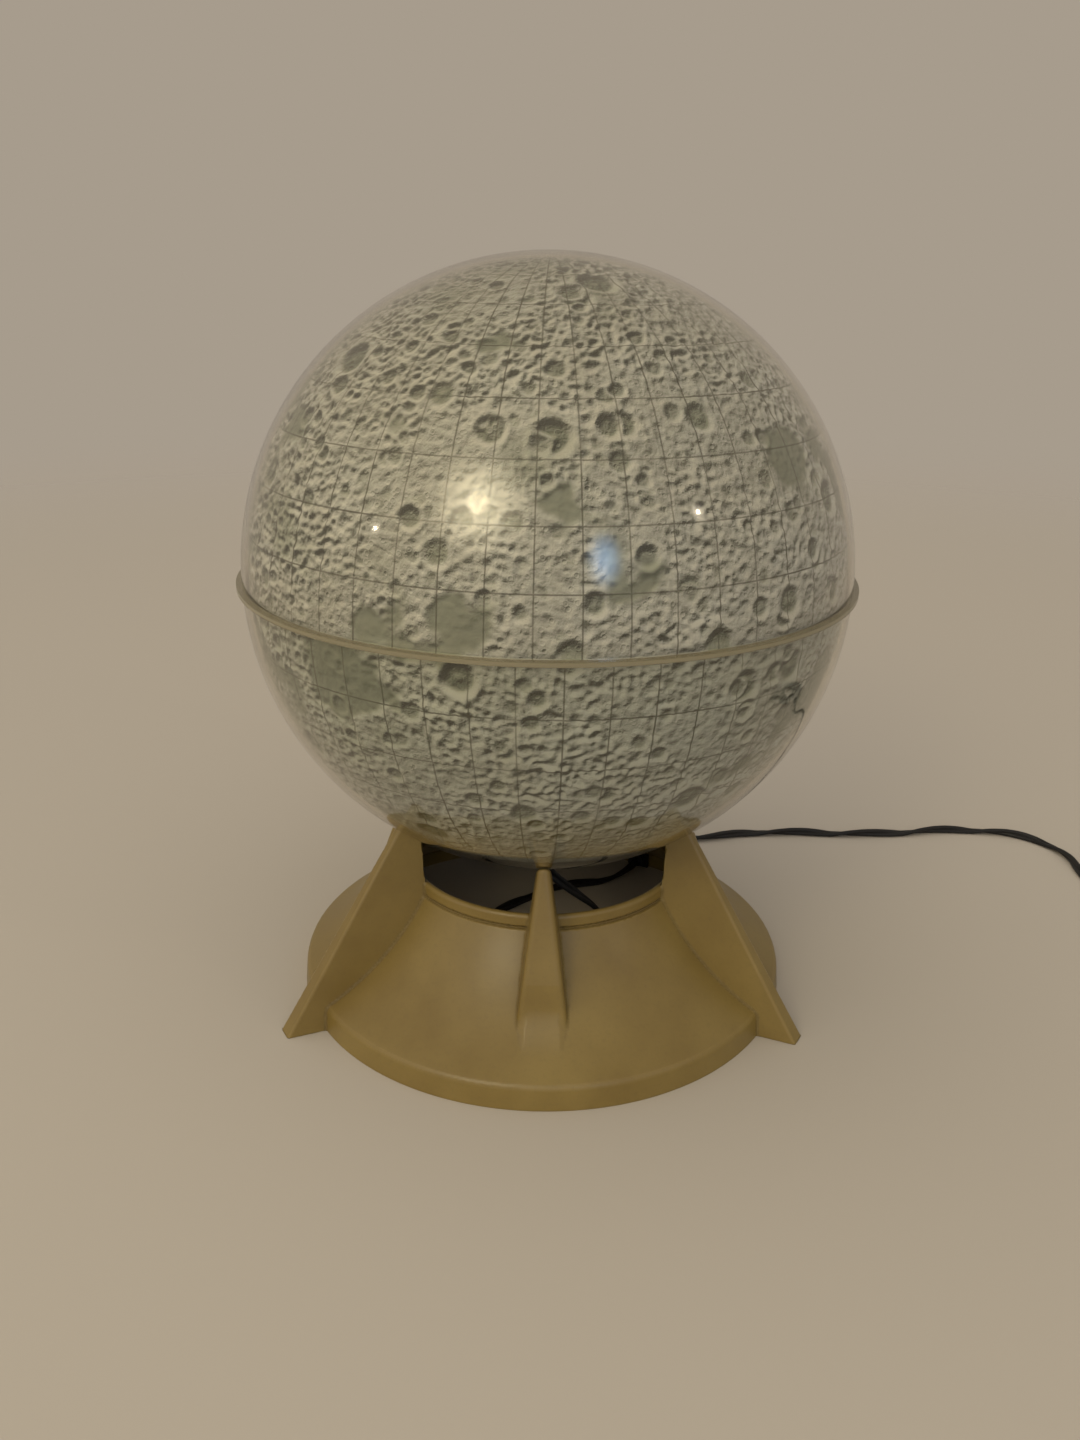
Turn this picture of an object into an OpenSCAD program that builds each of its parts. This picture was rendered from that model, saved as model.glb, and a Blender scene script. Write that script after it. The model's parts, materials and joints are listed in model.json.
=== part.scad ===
// Moon lamp: a clear globe over a relief moon, resting on a finned ring stand.
// Millimetres, +Z up, origin on the table under the globe, -Y is the front.

/* [Globe] */
// Outer diameter of the clear globe
globe_d = 304.8; // [296:0.4:312]
// Wall of the clear domes
dome_wall = 1.8; // [1.2:0.1:2.6]
// How far the seam ridge stands out from the globe
ridge_w = 2.6; // [1.6:0.1:4]
// Height of the seam ridge on each dome
ridge_h = 1.1; // [1:0.1:2.4]
// Air between a clear dome and its moon shell
moon_gap = 1.8; // [1.2:0.1:3]
// Wall of the moon shells
moon_wall = 1; // [0.6:0.1:1.8]
// Width of a moon shell's seating lip beyond the dome's inside
lip_w = 1; // [0.6:0.1:1.4]
// Thickness of the seating lip
lip_h = 0.7; // [0.4:0.1:0.8]
// Diameter of the hole at the south pole
hole_d = 56; // [54:0.5:60]

/* [South collar] */
// Wall of the collar that lines the south hole
collar_wall = 2.2; // [1.6:0.1:2.4]
// Reach of the collar's lower lip over the clear dome
collar_low_w = 4.2; // [2.5:0.1:5]
// Reach of the collar's upper lip over the moon shell
collar_up_w = 2.7; // [1.5:0.1:4]
// Thickness of the collar's lips
collar_lip_h = 1.5; // [1:0.1:2]

/* [Stand] */
// Radius of the hem on the table
hem_r = 135; // [130:1:140]
// Height of the upright hem
hem_h = 12; // [11:0.5:14]
// How much the hem leans in up to its top edge
hem_lean = 1; // [0.6:0.1:1.4]
// Rounding of the hem's top edge
hem_round = 1.5; // [1:0.1:1.8]
// Wall of the moulded stand
stand_wall = 3; // [2.2:0.1:3.6]
// How hollow the flare is between hem and rim
flare_sag = 5; // [3:0.5:8]
// Outer radius of the rim ring
rim_r = 77; // [74:0.5:80]
// Wall of the rim ring
rim_wall = 4; // [3:0.2:5]
// Height of the rim ring's top edge
rim_z = 72; // [68:0.5:75]
// Depth of the rim ring down to its groove
rim_h = 8; // [6:0.5:10]
// Depth of the groove under the rim ring
groove_d = 0.6; // [0.3:0.1:1]
// Height of the groove under the rim ring
groove_h = 0.8; // [0.6:0.1:1.2]
// Gap between the rim ring and the globe's lowest point
rim_gap = 5.6; // [5:0.1:8]
// Running gap between the globe and what carries it
seat_gap = 0.3; // [0.2:0.05:0.5]

/* [Fins] */
// Radius of the toe of the three legs
leg_reach = 155; // [150:1:160]
// Height of the upright toe of a leg
leg_toe_h = 1.5; // [1:0.1:3]
// Radius at which a leg's outer edge meets the globe
leg_top_r = 87; // [84:0.5:92]
// Half the width of a leg at its toe
leg_half = 5; // [4.4:0.1:6]
// Half width that a leg gains per mm toward the axis
leg_spread = 0.134; // [0.12:0.002:0.15]
// Half width that a leg loses per mm upward
leg_draft = 0.112; // [0.1:0.002:0.115]
// Radius at which a wedge's outer edge sinks into the flare
wedge_foot_r = 112; // [109:0.5:114]
// Height at which a wedge's outer edge sinks into the flare
wedge_foot_z = 28; // [26:0.5:30]
// Radius at which a wedge's outer edge meets the globe
wedge_top_r = 86; // [84:0.5:90]
// Half the width of a wedge at its foot
wedge_half = 12.8; // [12:0.1:14]
// Half width that a wedge loses per mm upward
wedge_draft = 0.132; // [0.12:0.002:0.138]
// Wall of the hollow legs and wedges
fin_wall = 2.5; // [1.8:0.1:3]

/* [Hem notch and flex sleeve] */
// Direction in which the flex leaves the stand
notch_at = 60; // [55:1:65]
// Width of the notch
notch_w = 9; // [8.8:0.1:10]
// Height of the notch
notch_h = 9.2; // [9:0.1:10]
// Outer radius of the sleeve in the notch
sleeve_r = 4.2; // [3.9:0.05:4.3]
// Radius of the sleeve at its free end
sleeve_tip_r = 3.5; // [3.1:0.1:3.8]
// Width of the sleeve's two plates
sleeve_plate_w = 14; // [12:0.5:18]
// Thickness of the sleeve's two plates
sleeve_plate_t = 2; // [1.4:0.1:2.5]

/* [Lamp holder] */
// Radius of the holder's flange
flange_r = 34; // [32:0.5:38]
// Thickness of the holder's flange
flange_t = 1.5; // [1.2:0.1:2]
// Outer radius of the terminal cup
cup_r = 18; // [17:0.2:18.4]
// Height of the terminal cup
cup_h = 16; // [14:0.5:20]
// Wall of the terminal cup
cup_wall = 1.8; // [1.4:0.1:2.2]
// Radius of the flex grommet's neck in the flange
grommet_r = 6; // [5:0.2:7]
// Length of the grommet's tail below its lower collar
grommet_drop = 4; // [3:0.1:6]
// Outer radius of the socket body
socket_r = 17.5; // [17:0.1:18]
// Height of the socket body
socket_h = 30; // [28:0.5:34]
// Thickness of the socket body's floor
socket_floor = 5; // [4:0.2:6]
// Bore of the socket body for the screw shell
socket_bore_r = 14.4; // [14.3:0.1:14.8]
// Inner radius of the brass screw shell at its crests
shell_r = 13.4; // [13.3:0.05:13.5]
// Thickness of the brass screw shell
shell_t = 0.4; // [0.3:0.05:0.45]
// Pitch of the lamp thread
thread_pitch = 3.6; // [3.4:0.05:3.8]
// Depth of the rolled lamp thread
thread_depth = 0.45; // [0.3:0.05:0.45]
// Width of a spring clip
clip_w = 9; // [7:0.5:9]
// Thickness of a spring clip
clip_t = 0.6; // [0.5:0.05:0.7]
// Height of a spring clip above the collar
clip_h = 9; // [8:0.5:10]
// How far a spring clip bulges over the collar
clip_bulge = 1.6; // [1:0.1:2]
// Gap between a spring clip's foot and the collar's bore
clip_gap = 1; // [0.8:0.1:1.2]
// Number of spring clips
clip_count = 3; // [2:1:4]
// Radius at which the terminal screws and rivets sit
screw_circle_r = 11; // [10.6:0.1:11.4]

/* [Bulb] */
// Diameter of the glass bulb
bulb_d = 47; // [44:0.5:48]
// Length of the bulb from tip to top
bulb_len = 89; // [86:0.5:92]
// Wall of the glass bulb
bulb_wall = 0.8; // [0.6:0.1:1]
// Radius of the bulb's neck
bulb_neck_r = 13.2; // [12.8:0.1:13.4]
// Mean radius of the bulb's screw cap
cap_r = 12.7; // [12.6:0.05:12.8]
// Height of the bulb's screw cap
cap_h = 20; // [18:0.5:22]
// Height of the filament's lead wires above the stem
lead_h = 14; // [10:0.5:18]
// Half the span of the filament
filament_half = 8; // [6:0.5:9]

/* [Flex] */
// Width of the twisted twin flex across both cores
flex_d = 5.5; // [4.5:0.1:5.5]
// Mean radius of the put-away coil
coil_mid_r = 31; // [30:0.5:34]
// Turns in each of the coil's two layers
coil_turns = 3; // [2:0.5:3.5]
// Step from turn to turn and from layer to layer
coil_step = 6; // [5.95:0.05:6.4]

/* [In-line switch] */
// Length of the switch case between its noses
switch_len = 48; // [44:1:50]
// Width of the switch case
switch_w = 22; // [20:0.5:24]
// Height of the switch case
switch_h = 13; // [12:0.5:15]
// Length of each nose that grips the flex
nose_len = 5; // [4:0.5:6]
// Radius of the noses
nose_r = 4.5; // [4:0.1:5.5]
// Wall of the switch case
switch_wall = 1.6; // [1.2:0.1:2]
// Radius of the thumb wheel
wheel_r = 10; // [9.4:0.1:10.2]
// Thickness of the thumb wheel
wheel_t = 4.4; // [3.8:0.1:5]
// How far the thumb wheel stands out of the case
wheel_out = 2.6; // [2:0.1:3]
// Radius of the thumb wheel's axle
axle_r = 2; // [1.6:0.1:2.4]
// Clearance around turning and sliding fits
fit = 0.2; // [0.15:0.05:0.25]

/* [Plug] */
// Length of the plug body
plug_len = 30; // [26:0.5:34]
// Width of the plug body at its face
plug_w = 24; // [22:0.5:26]
// Height of the plug body
plug_h = 13; // [12:0.5:15]
// Spacing of the two flat blades
blade_pitch = 12.7; // [12.6:0.05:12.8]
// Length of the blades
blade_len = 16; // [15:0.1:18]
// Height of the blades
blade_w = 6.35; // [6:0.05:6.6]
// Thickness of the blades
blade_t = 1.5; // [1.4:0.05:1.6]

/* [Hidden] */
$fa = 3;
$fs = 0.6;
big = 300;
leg_at = [-150, -30, 90];
wedge_at = [-90, 30, 150];

globe_r = globe_d / 2;
globe_z = rim_z + rim_gap + globe_r;
dome_in = globe_r - dome_wall;
moon_out = dome_in - moon_gap;
moon_in = moon_out - moon_wall;
hole_r = hole_d / 2;

// Height of a sphere's underside, centred with the globe, at radius r
function under(ball_r, r) = globe_z - sqrt(ball_r * ball_r - r * r);

// Collar heights
collar_out = hole_r - fit;
collar_in = collar_out - collar_wall;
collar_top = under(moon_in, collar_out + collar_up_w) + fit;
collar_seat = under(globe_r, hole_r) - fit;
collar_bot = collar_seat - collar_lip_h;

// Holder heights
flange_z = collar_bot - seat_gap;
cup_top = flange_z + cup_h;
socket_top = cup_top + socket_h;
web_top = cup_top + socket_floor;
tip_z = web_top + 4.2;
cap_z = tip_z + 4;
glass_z = cap_z + cap_h - 2;

// Flare of the skirt: an arc between the hem and the groove
flare_a = [hem_r - hem_lean - 2 * hem_round, hem_h + hem_round * 4 / 3];
flare_b = [rim_r + 1, rim_z - rim_h];
flare_c = norm(flare_b - flare_a);
flare_u = (flare_b - flare_a) / flare_c;
flare_rad = (flare_c * flare_c / 4 + flare_sag * flare_sag) / (2 * flare_sag);
flare_o = (flare_a + flare_b) / 2 + [flare_u[1], -flare_u[0]] * (flare_rad - flare_sag);
function turn_of(p) = atan2(p[1] - flare_o[1], p[0] - flare_o[0]);
function flare(extra, steps) = [for (i = [0:steps])
    let (a = turn_of(flare_a) + (turn_of(flare_b) - turn_of(flare_a)) * i / steps)
    flare_o + (flare_rad + extra) * [cos(a), sin(a)]];
rim_mid = rim_r - rim_wall / 2;
rim_round = [for (a = [0:20:180])
    [rim_mid + rim_wall / 2 * cos(a), rim_z - rim_wall / 2 + rim_wall / 2 * sin(a)]];

// Flex heights, and where the pieces on the flex lie
flex_r = flex_d / 2;
flex_z = 2.8;
sleeve_z = 4.7;
sleeve_in_r = hem_r - 8;
sleeve_out_r = hem_r + 17;
case_z = switch_h / 2;
grommet_plate = 1.5;
grommet_z = flange_z - flange_t - grommet_plate - grommet_drop;
switch_at = [425, 71.5];
coil_at = [440, 15];
plug_at = [450, -45];
half_case = switch_len / 2 + nose_len;
leave = [cos(notch_at), sin(notch_at)];
function at_sleeve(r) = [r * leave[0], r * leave[1], sleeve_z];
function at_case(x) = [switch_at[0] + x, switch_at[1], case_z];

// Coil of two layers: the turns spiral in, climb in the half turn at the middle, and spiral out
coil_out = coil_mid_r + coil_step * coil_turns / 2;
coil_all = coil_turns * 2 * 360;
function climb(a) = let (t = min(1, max(0, (a - coil_all / 2 + 90) / 180))) t * t * (3 - 2 * t);
function coil_point(a) =
    let (r = coil_out - coil_step * coil_turns * (1 - abs(1 - 2 * a / coil_all)))
    [coil_at[0] + r * cos(a), coil_at[1] - r * sin(a), flex_z + coil_step * climb(a)];
coil_wound = [for (a = [0:15:coil_all]) coil_point(a)];
coil_start = coil_wound[0] + [0, flex_d, 0];
coil_end = coil_wound[len(coil_wound) - 1] - [0, flex_d, 0];
coil_pts = concat([coil_start], coil_wound, [coil_end]);
coil_gap = min([for (i = [0:len(coil_wound) - 13]) for (j = [i + 12:len(coil_wound) - 1])
    norm(coil_wound[i] - coil_wound[j])]) - flex_d;

// The points that the flex lies along, chosen by hand between the pieces it meets
inside_pts = [
    [0, 0, grommet_z], [0, 0, grommet_z - 5.5], [1.2, 0, 60.2], [5, 0, 54.2], [11, 0, 48.2], [20, 0, 41],
    [30, -0.5, 33], [39, -3, 23.5], [45.5, -9, 14.5], [48, -18, 8.5], [46.5, -28, 4.8],
    [40.5, -38, 2.8], [30, -45.5, 2.8], [16.5, -49.5, 2.8], [2, -50, 2.8], [-12.5, -47.5, 2.8],
    [-25.5, -41, 2.8], [-36, -31, 2.8], [-42.5, -18, 2.8], [-45, -3.5, 2.8], [-44, 11, 2.8],
    [-40, 25.5, 2.8], [-32.5, 38.5, 2.8], [-22.5, 50.5, 2.8], [-11, 62, 2.8], [2, 72, 2.8],
    [16.5, 79, 2.8], [31.5, 84, 2.8], [44, 89, 2.9], [54, 96.5, 3.6], at_sleeve(sleeve_in_r - 6),
    at_sleeve(sleeve_in_r)];
free_pts = [
    at_sleeve(sleeve_out_r), at_sleeve(sleeve_out_r + 5.5), [84.5, 143, 3.6], [92.5, 147.5, 2.8],
    [103, 149.5, 2.8], [115, 150.5, 2.8], [128, 153.5, 2.8], [141, 157, 2.8], [156, 159.5, 2.8],
    [171, 160, 2.8], [189, 160, 2.8], [206.5, 159.5, 2.8], [225, 159.3, 2.8], [243.5, 160, 2.8],
    [258, 162, 2.8], [272.5, 164.7, 2.8], [287, 166.5, 2.8], [301, 167, 2.8], [318.5, 165.8, 2.8],
    [335.5, 161, 2.8], [349, 152.5, 2.8], [358, 140.5, 2.8], [361.5, 126, 2.8],
    [361, 111, 2.8], [361.5, 97.5, 2.8], [366, 85.5, 3], [375, 76.5, 4.2], [384, 72.4, 5.8],
    at_case(-half_case - 5.5), at_case(-half_case)];
to_coil_pts = [
    at_case(half_case), at_case(half_case + 5.5), [468, 69, 5], [475, 62.5, 3.4], [479, 53.5, 2.8],
    [480, 43, 2.8], [480, 32, 2.8], coil_start];
tail_pts = [
    coil_end, [480, 4, 8.8], [480, -3.5, 7.6], [479.5, -15, 4.5], [476, -27, 3], [469, -37, 4],
    [460, -43, 5.8], [plug_at[0] + 5.5, plug_at[1], plug_h / 2],
    [plug_at[0], plug_at[1], plug_h / 2]];

// ---- shared shapes ----

module ring(r_out, r_in, z0, h) {
    translate([0, 0, z0]) difference() {
        cylinder(r = r_out, h = h);
        translate([0, 0, -1]) cylinder(r = r_in, h = h + 2);
    }
}

// Half a hollow ball about the globe's centre: side is 1 for north, -1 for south
module half_ball(r_out, r_in, side) {
    translate([0, 0, globe_z]) intersection() {
        difference() {
            sphere(r = r_out);
            sphere(r = r_in);
        }
        translate([-big, -big, side > 0 ? 0 : -2 * big]) cube(2 * big);
    }
}

module south_hole() {
    translate([0, 0, globe_z - globe_r - 5]) cylinder(r = hole_r, h = 20);
}

// One sloping side: everything on the inner side of a plane through the point at
module taper_side(at, spread, draft) {
    long = norm([spread, 1, draft]);
    translate(at) rotate([asin(draft / long), 0, -atan(spread)])
        translate([-big, -2 * big, -big]) cube(2 * big);
}

// A fin along +X: its side view, drawn in on both sides and trimmed under the globe
module blade(profile, at, spread, draft, trim) {
    difference() {
        intersection() {
            rotate([90, 0, 0]) linear_extrude(height = 80, center = true) polygon(profile);
            taper_side(at, spread, draft);
            mirror([0, 1, 0]) taper_side(at, spread, draft);
        }
        translate([0, 0, globe_z]) sphere(r = globe_r + seat_gap + trim);
    }
}

// Outer edge of a leg and of a wedge: radius at height z
leg_top_z = under(globe_r + seat_gap, leg_top_r);
wedge_top_z = under(globe_r + seat_gap, wedge_top_r);
leg_lean = (leg_reach - leg_top_r) / leg_top_z;
wedge_lean = (wedge_foot_r - wedge_top_r) / (wedge_top_z - wedge_foot_z);
function leg_edge(z) = leg_reach - leg_lean * z;
function wedge_edge(z) = wedge_foot_r - wedge_lean * (z - wedge_foot_z);
fin_root = rim_r - 1;
fin_hi = leg_top_z + 8;
wedge_lo = wedge_foot_z - 9;

module leg(inset) {
    shift = inset * sqrt(1 + leg_lean * leg_lean);
    profile = inset > 0
        ? [[fin_root + inset, -1], [leg_edge(-1) - shift, -1],
           [leg_edge(fin_hi) - shift, fin_hi], [fin_root + inset, fin_hi]]
        : [[fin_root, 0], [leg_reach, 0], [leg_reach, leg_toe_h],
           [leg_edge(fin_hi), fin_hi], [fin_root, fin_hi]];
    blade(profile, [leg_reach, leg_half - inset, 0], leg_spread, leg_draft, inset);
}

module wedge(inset) {
    shift = inset * sqrt(1 + wedge_lean * wedge_lean);
    profile = [[fin_root + inset, wedge_lo], [wedge_edge(wedge_lo) - shift, wedge_lo],
               [wedge_edge(fin_hi) - shift, fin_hi], [fin_root + inset, fin_hi]];
    blade(profile, [wedge_foot_r, wedge_half - inset, wedge_foot_z], 0, wedge_draft, inset);
}

// A tube swept along points, its section carried along without twisting
function unit(v) = v / norm(v);
function along(p, i) =
    unit(i == 0 ? p[1] - p[0] : i == len(p) - 1 ? p[i] - p[i - 1]
        : unit(p[i + 1] - p[i]) + unit(p[i] - p[i - 1]));
function across(n, t) = unit(n - (n * t) * t);
function carried(p, start) = [for (i = 0, n = across(start, along(p, 0)); i < len(p);
    i = i + 1, n = i < len(p) ? across(n, along(p, i)) : n) n];

module tube(p, sides, start) {
    n = carried(p, start);
    rings = len(p);
    points = [for (i = [0:rings - 1]) let (t = along(p, i), b = cross(t, n[i]))
        for (k = [0:sides - 1]) let (a = 360 * (k + 0.5) / sides)
            p[i] + flex_r * (cos(a) * n[i] + sin(a) * b)];
    walls = [for (i = [0:rings - 2]) for (k = [0:sides - 1])
        let (a = i * sides + k, b = i * sides + (k + 1) % sides)
            each [[a, a + sides, b], [b, a + sides, b + sides]]];
    caps = [for (k = [1:sides - 2]) each [[0, k, k + 1],
        [(rings - 1) * sides, (rings - 1) * sides + k + 1, (rings - 1) * sides + k]]];
    polyhedron(points = points, faces = concat(walls, caps));
}

// ---- stand ----

module base_shell() color("darkkhaki") difference() {
    union() {
        rotate_extrude() polygon(concat(
            [[rim_r / 2, 0], [hem_r, 0], [hem_r - hem_lean, hem_h - hem_round],
             [hem_r - hem_lean - hem_round / 3, hem_h],
             [hem_r - hem_lean - hem_round, hem_h + 0.8 * hem_round]],
            flare(0, 14),
            [[rim_r - groove_d, rim_z - rim_h + groove_h / 4],
             [rim_r - groove_d, rim_z - rim_h + groove_h * 5 / 4],
             [rim_r, rim_z - rim_h + groove_h * 2]],
            rim_round,
            [[rim_r / 2, rim_z - rim_h]]));
        for (a = leg_at) rotate(a) leg(0);
        for (a = wedge_at) rotate(a) wedge(0);
    }
    rotate_extrude() polygon(concat(
        [[0, -1], [hem_r - stand_wall, -1],
         [hem_r - stand_wall - hem_lean, hem_h - hem_round * 5 / 3]],
        flare(stand_wall, 14),
        [[rim_r - rim_wall, rim_z - rim_h], [rim_r - rim_wall, rim_z + 1], [0, rim_z + 1]]));
    for (a = leg_at) rotate(a) leg(fin_wall);
    for (a = wedge_at) rotate(a) wedge(fin_wall);
    rotate(notch_at) translate([hem_r - 20, -notch_w / 2, -1]) cube([40, notch_w, notch_h + 1]);
}

module flex_sleeve() color("dimgray") rotate(notch_at) {
    // The inner plate's corners touch the hem's wall, which leans in toward the top
    room = hem_r - stand_wall - hem_lean - seat_gap;
    plate_in = sqrt(room * room - sleeve_plate_w * sleeve_plate_w / 4) - sleeve_plate_t;
    plate_out = hem_r + seat_gap;
    taper = plate_out + sleeve_plate_t;
    translate([sleeve_in_r, 0, sleeve_z]) rotate([0, 90, 0])
        cylinder(r = sleeve_r, h = taper - sleeve_in_r);
    for (x = [plate_in, plate_out])
        translate([x, -sleeve_plate_w / 2, fit])
            cube([sleeve_plate_t, sleeve_plate_w, notch_h]);
    translate([taper, 0, sleeve_z]) rotate([0, 90, 0])
        cylinder(r1 = sleeve_r, r2 = sleeve_tip_r, h = sleeve_out_r - taper);
}

// ---- flex ----

module flex_inside() color("black") tube(inside_pts, 8, [0, 1, 0]);

module flex_free() color("black") tube(free_pts, 8, [0, 0, 1]);

module flex_to_coil() color("black") tube(to_coil_pts, 8, [0, 0, 1]);

module flex_tail() color("black") tube(tail_pts, 8, [0, 0, 1]);

module flex_coil() {
    echo(least_gap_between_turns = coil_gap);
    color("black") tube(coil_pts, 6, [0, 0, 1]);
}

// ---- in-line switch, lying along X ----

wheel_y = switch_w / 2 + wheel_out - wheel_r;
post_x = -switch_len / 2 + 6;

module rounded(l, w, r) {
    square([l - 2 * r, w], center = true);
    square([l, w - 2 * r], center = true);
    for (x = [-1, 1]) for (y = [-1, 1])
        translate([x * (l / 2 - r), y * (w / 2 - r)]) circle(r = r);
}

// The whole case with its cavity, cut into halves by the two covers
module switch_shell() {
    difference() {
        union() {
            linear_extrude(height = switch_h) rounded(switch_len, switch_w, 5);
            for (s = [-1, 1]) translate([s * (switch_len / 2 - 1), 0, case_z])
                rotate([0, s * 90, 0]) cylinder(r = nose_r, h = nose_len + 1);
        }
        difference() {
            translate([0, 0, switch_wall]) linear_extrude(height = switch_h - 2 * switch_wall)
                rounded(switch_len - 2 * switch_wall, switch_w - 2 * switch_wall, 3.4);
            translate([post_x, 0, 0]) cylinder(r = 3.4, h = switch_h);
            translate([0, wheel_y, 0]) cylinder(r = axle_r, h = switch_h);
        }
        translate([0, wheel_y, case_z - wheel_t / 2 - fit])
            ring(wheel_r + 0.6, axle_r, 0, wheel_t + 2 * fit);
    }
}

module at_switch() translate([switch_at[0], switch_at[1], 0]) children();

module switch_case_lower() color("black") at_switch() difference() {
    intersection() {
        switch_shell();
        translate([-big, -big, 0]) cube([2 * big, 2 * big, case_z]);
    }
    translate([post_x, 0, switch_wall]) cylinder(r = 1.4, h = switch_h);
}

module switch_case_upper() color("dimgray") at_switch() difference() {
    intersection() {
        switch_shell();
        translate([-big, -big, case_z]) cube([2 * big, 2 * big, case_z]);
    }
    translate([post_x, 0, 0]) cylinder(r = 1.4 + fit, h = switch_h + 1);
    translate([post_x, 0, switch_h - 1.8]) cylinder(r = 2.6 + fit, h = 5);
}

module switch_screw() color("silver") at_switch() translate([post_x, 0, 0]) difference() {
    union() {
        translate([0, 0, switch_wall + 1]) cylinder(r = 1.3, h = switch_h - switch_wall - 2.4);
        translate([0, 0, switch_h - 1.7]) cylinder(r = 2.6, h = 1.5);
    }
    translate([-0.4, -3, switch_h - 0.9]) cube([0.8, 6, 2]);
}

module switch_contacts() color("goldenrod") at_switch() {
    for (s = [0, 1]) mirror([s, 0, 0]) translate([wheel_r + 3.4, 0, 0]) {
        translate([-0.4, -7, switch_wall]) cube([0.8, 12, 6]);
        translate([-3, -7, switch_wall]) cube([3, 5, 0.8]);
    }
}

module switch_wheel() color("ivory") at_switch() translate([0, wheel_y, 0]) difference() {
    translate([0, 0, case_z - wheel_t / 2]) cylinder(r = wheel_r, h = wheel_t);
    translate([0, 0, case_z - wheel_t]) cylinder(r = axle_r + fit, h = 2 * wheel_t);
    for (a = [0:15:345]) rotate(a)
        translate([wheel_r + 0.35, 0, case_z - wheel_t]) cylinder(r = 0.8, h = 2 * wheel_t);
}

// ---- plug, lying along -X with its blades flat ----

module plug_body() color("black") translate([plug_at[0], plug_at[1], 0]) {
    rotate([90, 0, 0]) translate([0, 0, -plug_w / 2]) linear_extrude(height = plug_w)
        polygon([[-plug_len, 0.2], [-8, 0.2], [0, plug_h / 2 - 4.2], [0, plug_h / 2 + 4.2],
                 [-8, plug_h], [-plug_len, plug_h]]);
}

module plug_blades() color("silver") translate([plug_at[0] - plug_len, plug_at[1], plug_h / 2])
    for (s = [-1, 1]) translate([0, s * blade_pitch / 2, 0]) difference() {
        translate([-blade_len, -blade_t / 2, -blade_w / 2]) cube([blade_len, blade_t, blade_w]);
        translate([-blade_len + 4, 0, 0]) rotate([90, 0, 0])
            cylinder(r = 1.6, h = 4, center = true);
    }

// ---- lamp holder in the globe's south hole ----

module holder_flange() color("silver") difference() {
    translate([0, 0, flange_z - flange_t]) cylinder(r = flange_r, h = flange_t);
    translate([0, 0, flange_z - 5]) cylinder(r = grommet_r + fit, h = 10);
    for (s = [-1, 1]) translate([0, s * screw_circle_r, flange_z - 5])
        cylinder(r = 1.5 + fit, h = 10);
}

module flex_grommet() color("black") rotate_extrude() {
    low = flange_z - flange_t;
    polygon([
        [0, grommet_z], [4, grommet_z], [5, low - grommet_plate],
        [grommet_r + 2, low - grommet_plate], [grommet_r + 2, low], [grommet_r, low],
        [grommet_r, flange_z], [grommet_r + 1.6, flange_z + 0.2],
        [grommet_r + 1, flange_z + 3], [0, flange_z + 3]]);
}

module terminal_cup() color("black") difference() {
    translate([0, 0, flange_z]) cylinder(r = cup_r, h = cup_h);
    translate([0, 0, flange_z + cup_wall]) cylinder(r = cup_r - cup_wall, h = cup_h);
    translate([0, 0, flange_z - 1]) cylinder(r = grommet_r + 1.6 + fit, h = 5);
    for (s = [-1, 1]) translate([0, s * screw_circle_r, flange_z - 1])
        cylinder(r = 1.5 + fit, h = 5);
}

module holder_rivets() color("silver") for (s = [-1, 1]) translate([0, s * screw_circle_r, 0]) {
    translate([0, 0, flange_z - flange_t - 1.2]) cylinder(r1 = 2, r2 = 2.8, h = 1.2);
    translate([0, 0, flange_z - flange_t]) cylinder(r = 1.5, h = flange_t + cup_wall);
    translate([0, 0, flange_z + cup_wall]) cylinder(r = 2.6, h = 1);
}

module spring_clips() color("silver") for (i = [0:clip_count - 1]) rotate(30 + i * 360 / clip_count)
    rotate([90, 0, 0]) translate([0, 0, -clip_w / 2]) linear_extrude(height = clip_w)
        polygon([
            [cup_r + 3 * fit, flange_z], [collar_in - clip_gap, flange_z],
            [collar_in - clip_gap, collar_top + 1.4 * clip_gap],
            [collar_in + clip_bulge, collar_top + clip_h * 7 / 15],
            [collar_in - 2 * clip_gap, collar_top + clip_h],
            [collar_in - 2 * clip_gap - clip_t, collar_top + clip_h - 0.4 * clip_gap],
            [collar_in + clip_bulge - 1.4 * clip_t, collar_top + clip_h * 7 / 15],
            [collar_in - clip_gap - clip_t, collar_top + 1.6 * clip_gap],
            [collar_in - clip_gap - clip_t, flange_z + clip_t],
            [cup_r + 3 * fit, flange_z + clip_t]]);

module socket_body() color("white") difference() {
    translate([0, 0, cup_top]) cylinder(r = socket_r, h = socket_h);
    translate([0, 0, web_top]) cylinder(r = socket_bore_r, h = socket_h);
    for (s = [-1, 1]) translate([s * screw_circle_r, 0, cup_top - 1])
        cylinder(r = 1.5 + fit, h = 4);
}

// Rolled thread: a wall that waves in and out along its height
function thread(r, low, tall, phase) = [for (k = [0:floor(tall / thread_pitch * 6)])
    [r + thread_depth * sin(60 * k + phase), low + thread_pitch * k / 6]];
function reversed(p) = [for (i = [len(p) - 1:-1:0]) p[i]];

module screw_shell() color("gold") {
    tall = socket_top - 1 - web_top;
    rotate_extrude() polygon(concat(thread(shell_r, web_top, tall, 0),
        reversed(thread(shell_r + shell_t, web_top, tall, 0))));
}

module centre_contact() color("gold") rotate([90, 0, 0]) translate([0, 0, -3.5])
    linear_extrude(height = 7) polygon([
        [-8, web_top], [-1, web_top], [5, tip_z - 0.9], [7, tip_z - 1.2], [7.2, tip_z - 0.6],
        [5, tip_z - 0.3], [-1.4, web_top + 0.6], [-8, web_top + 0.6]]);

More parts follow.
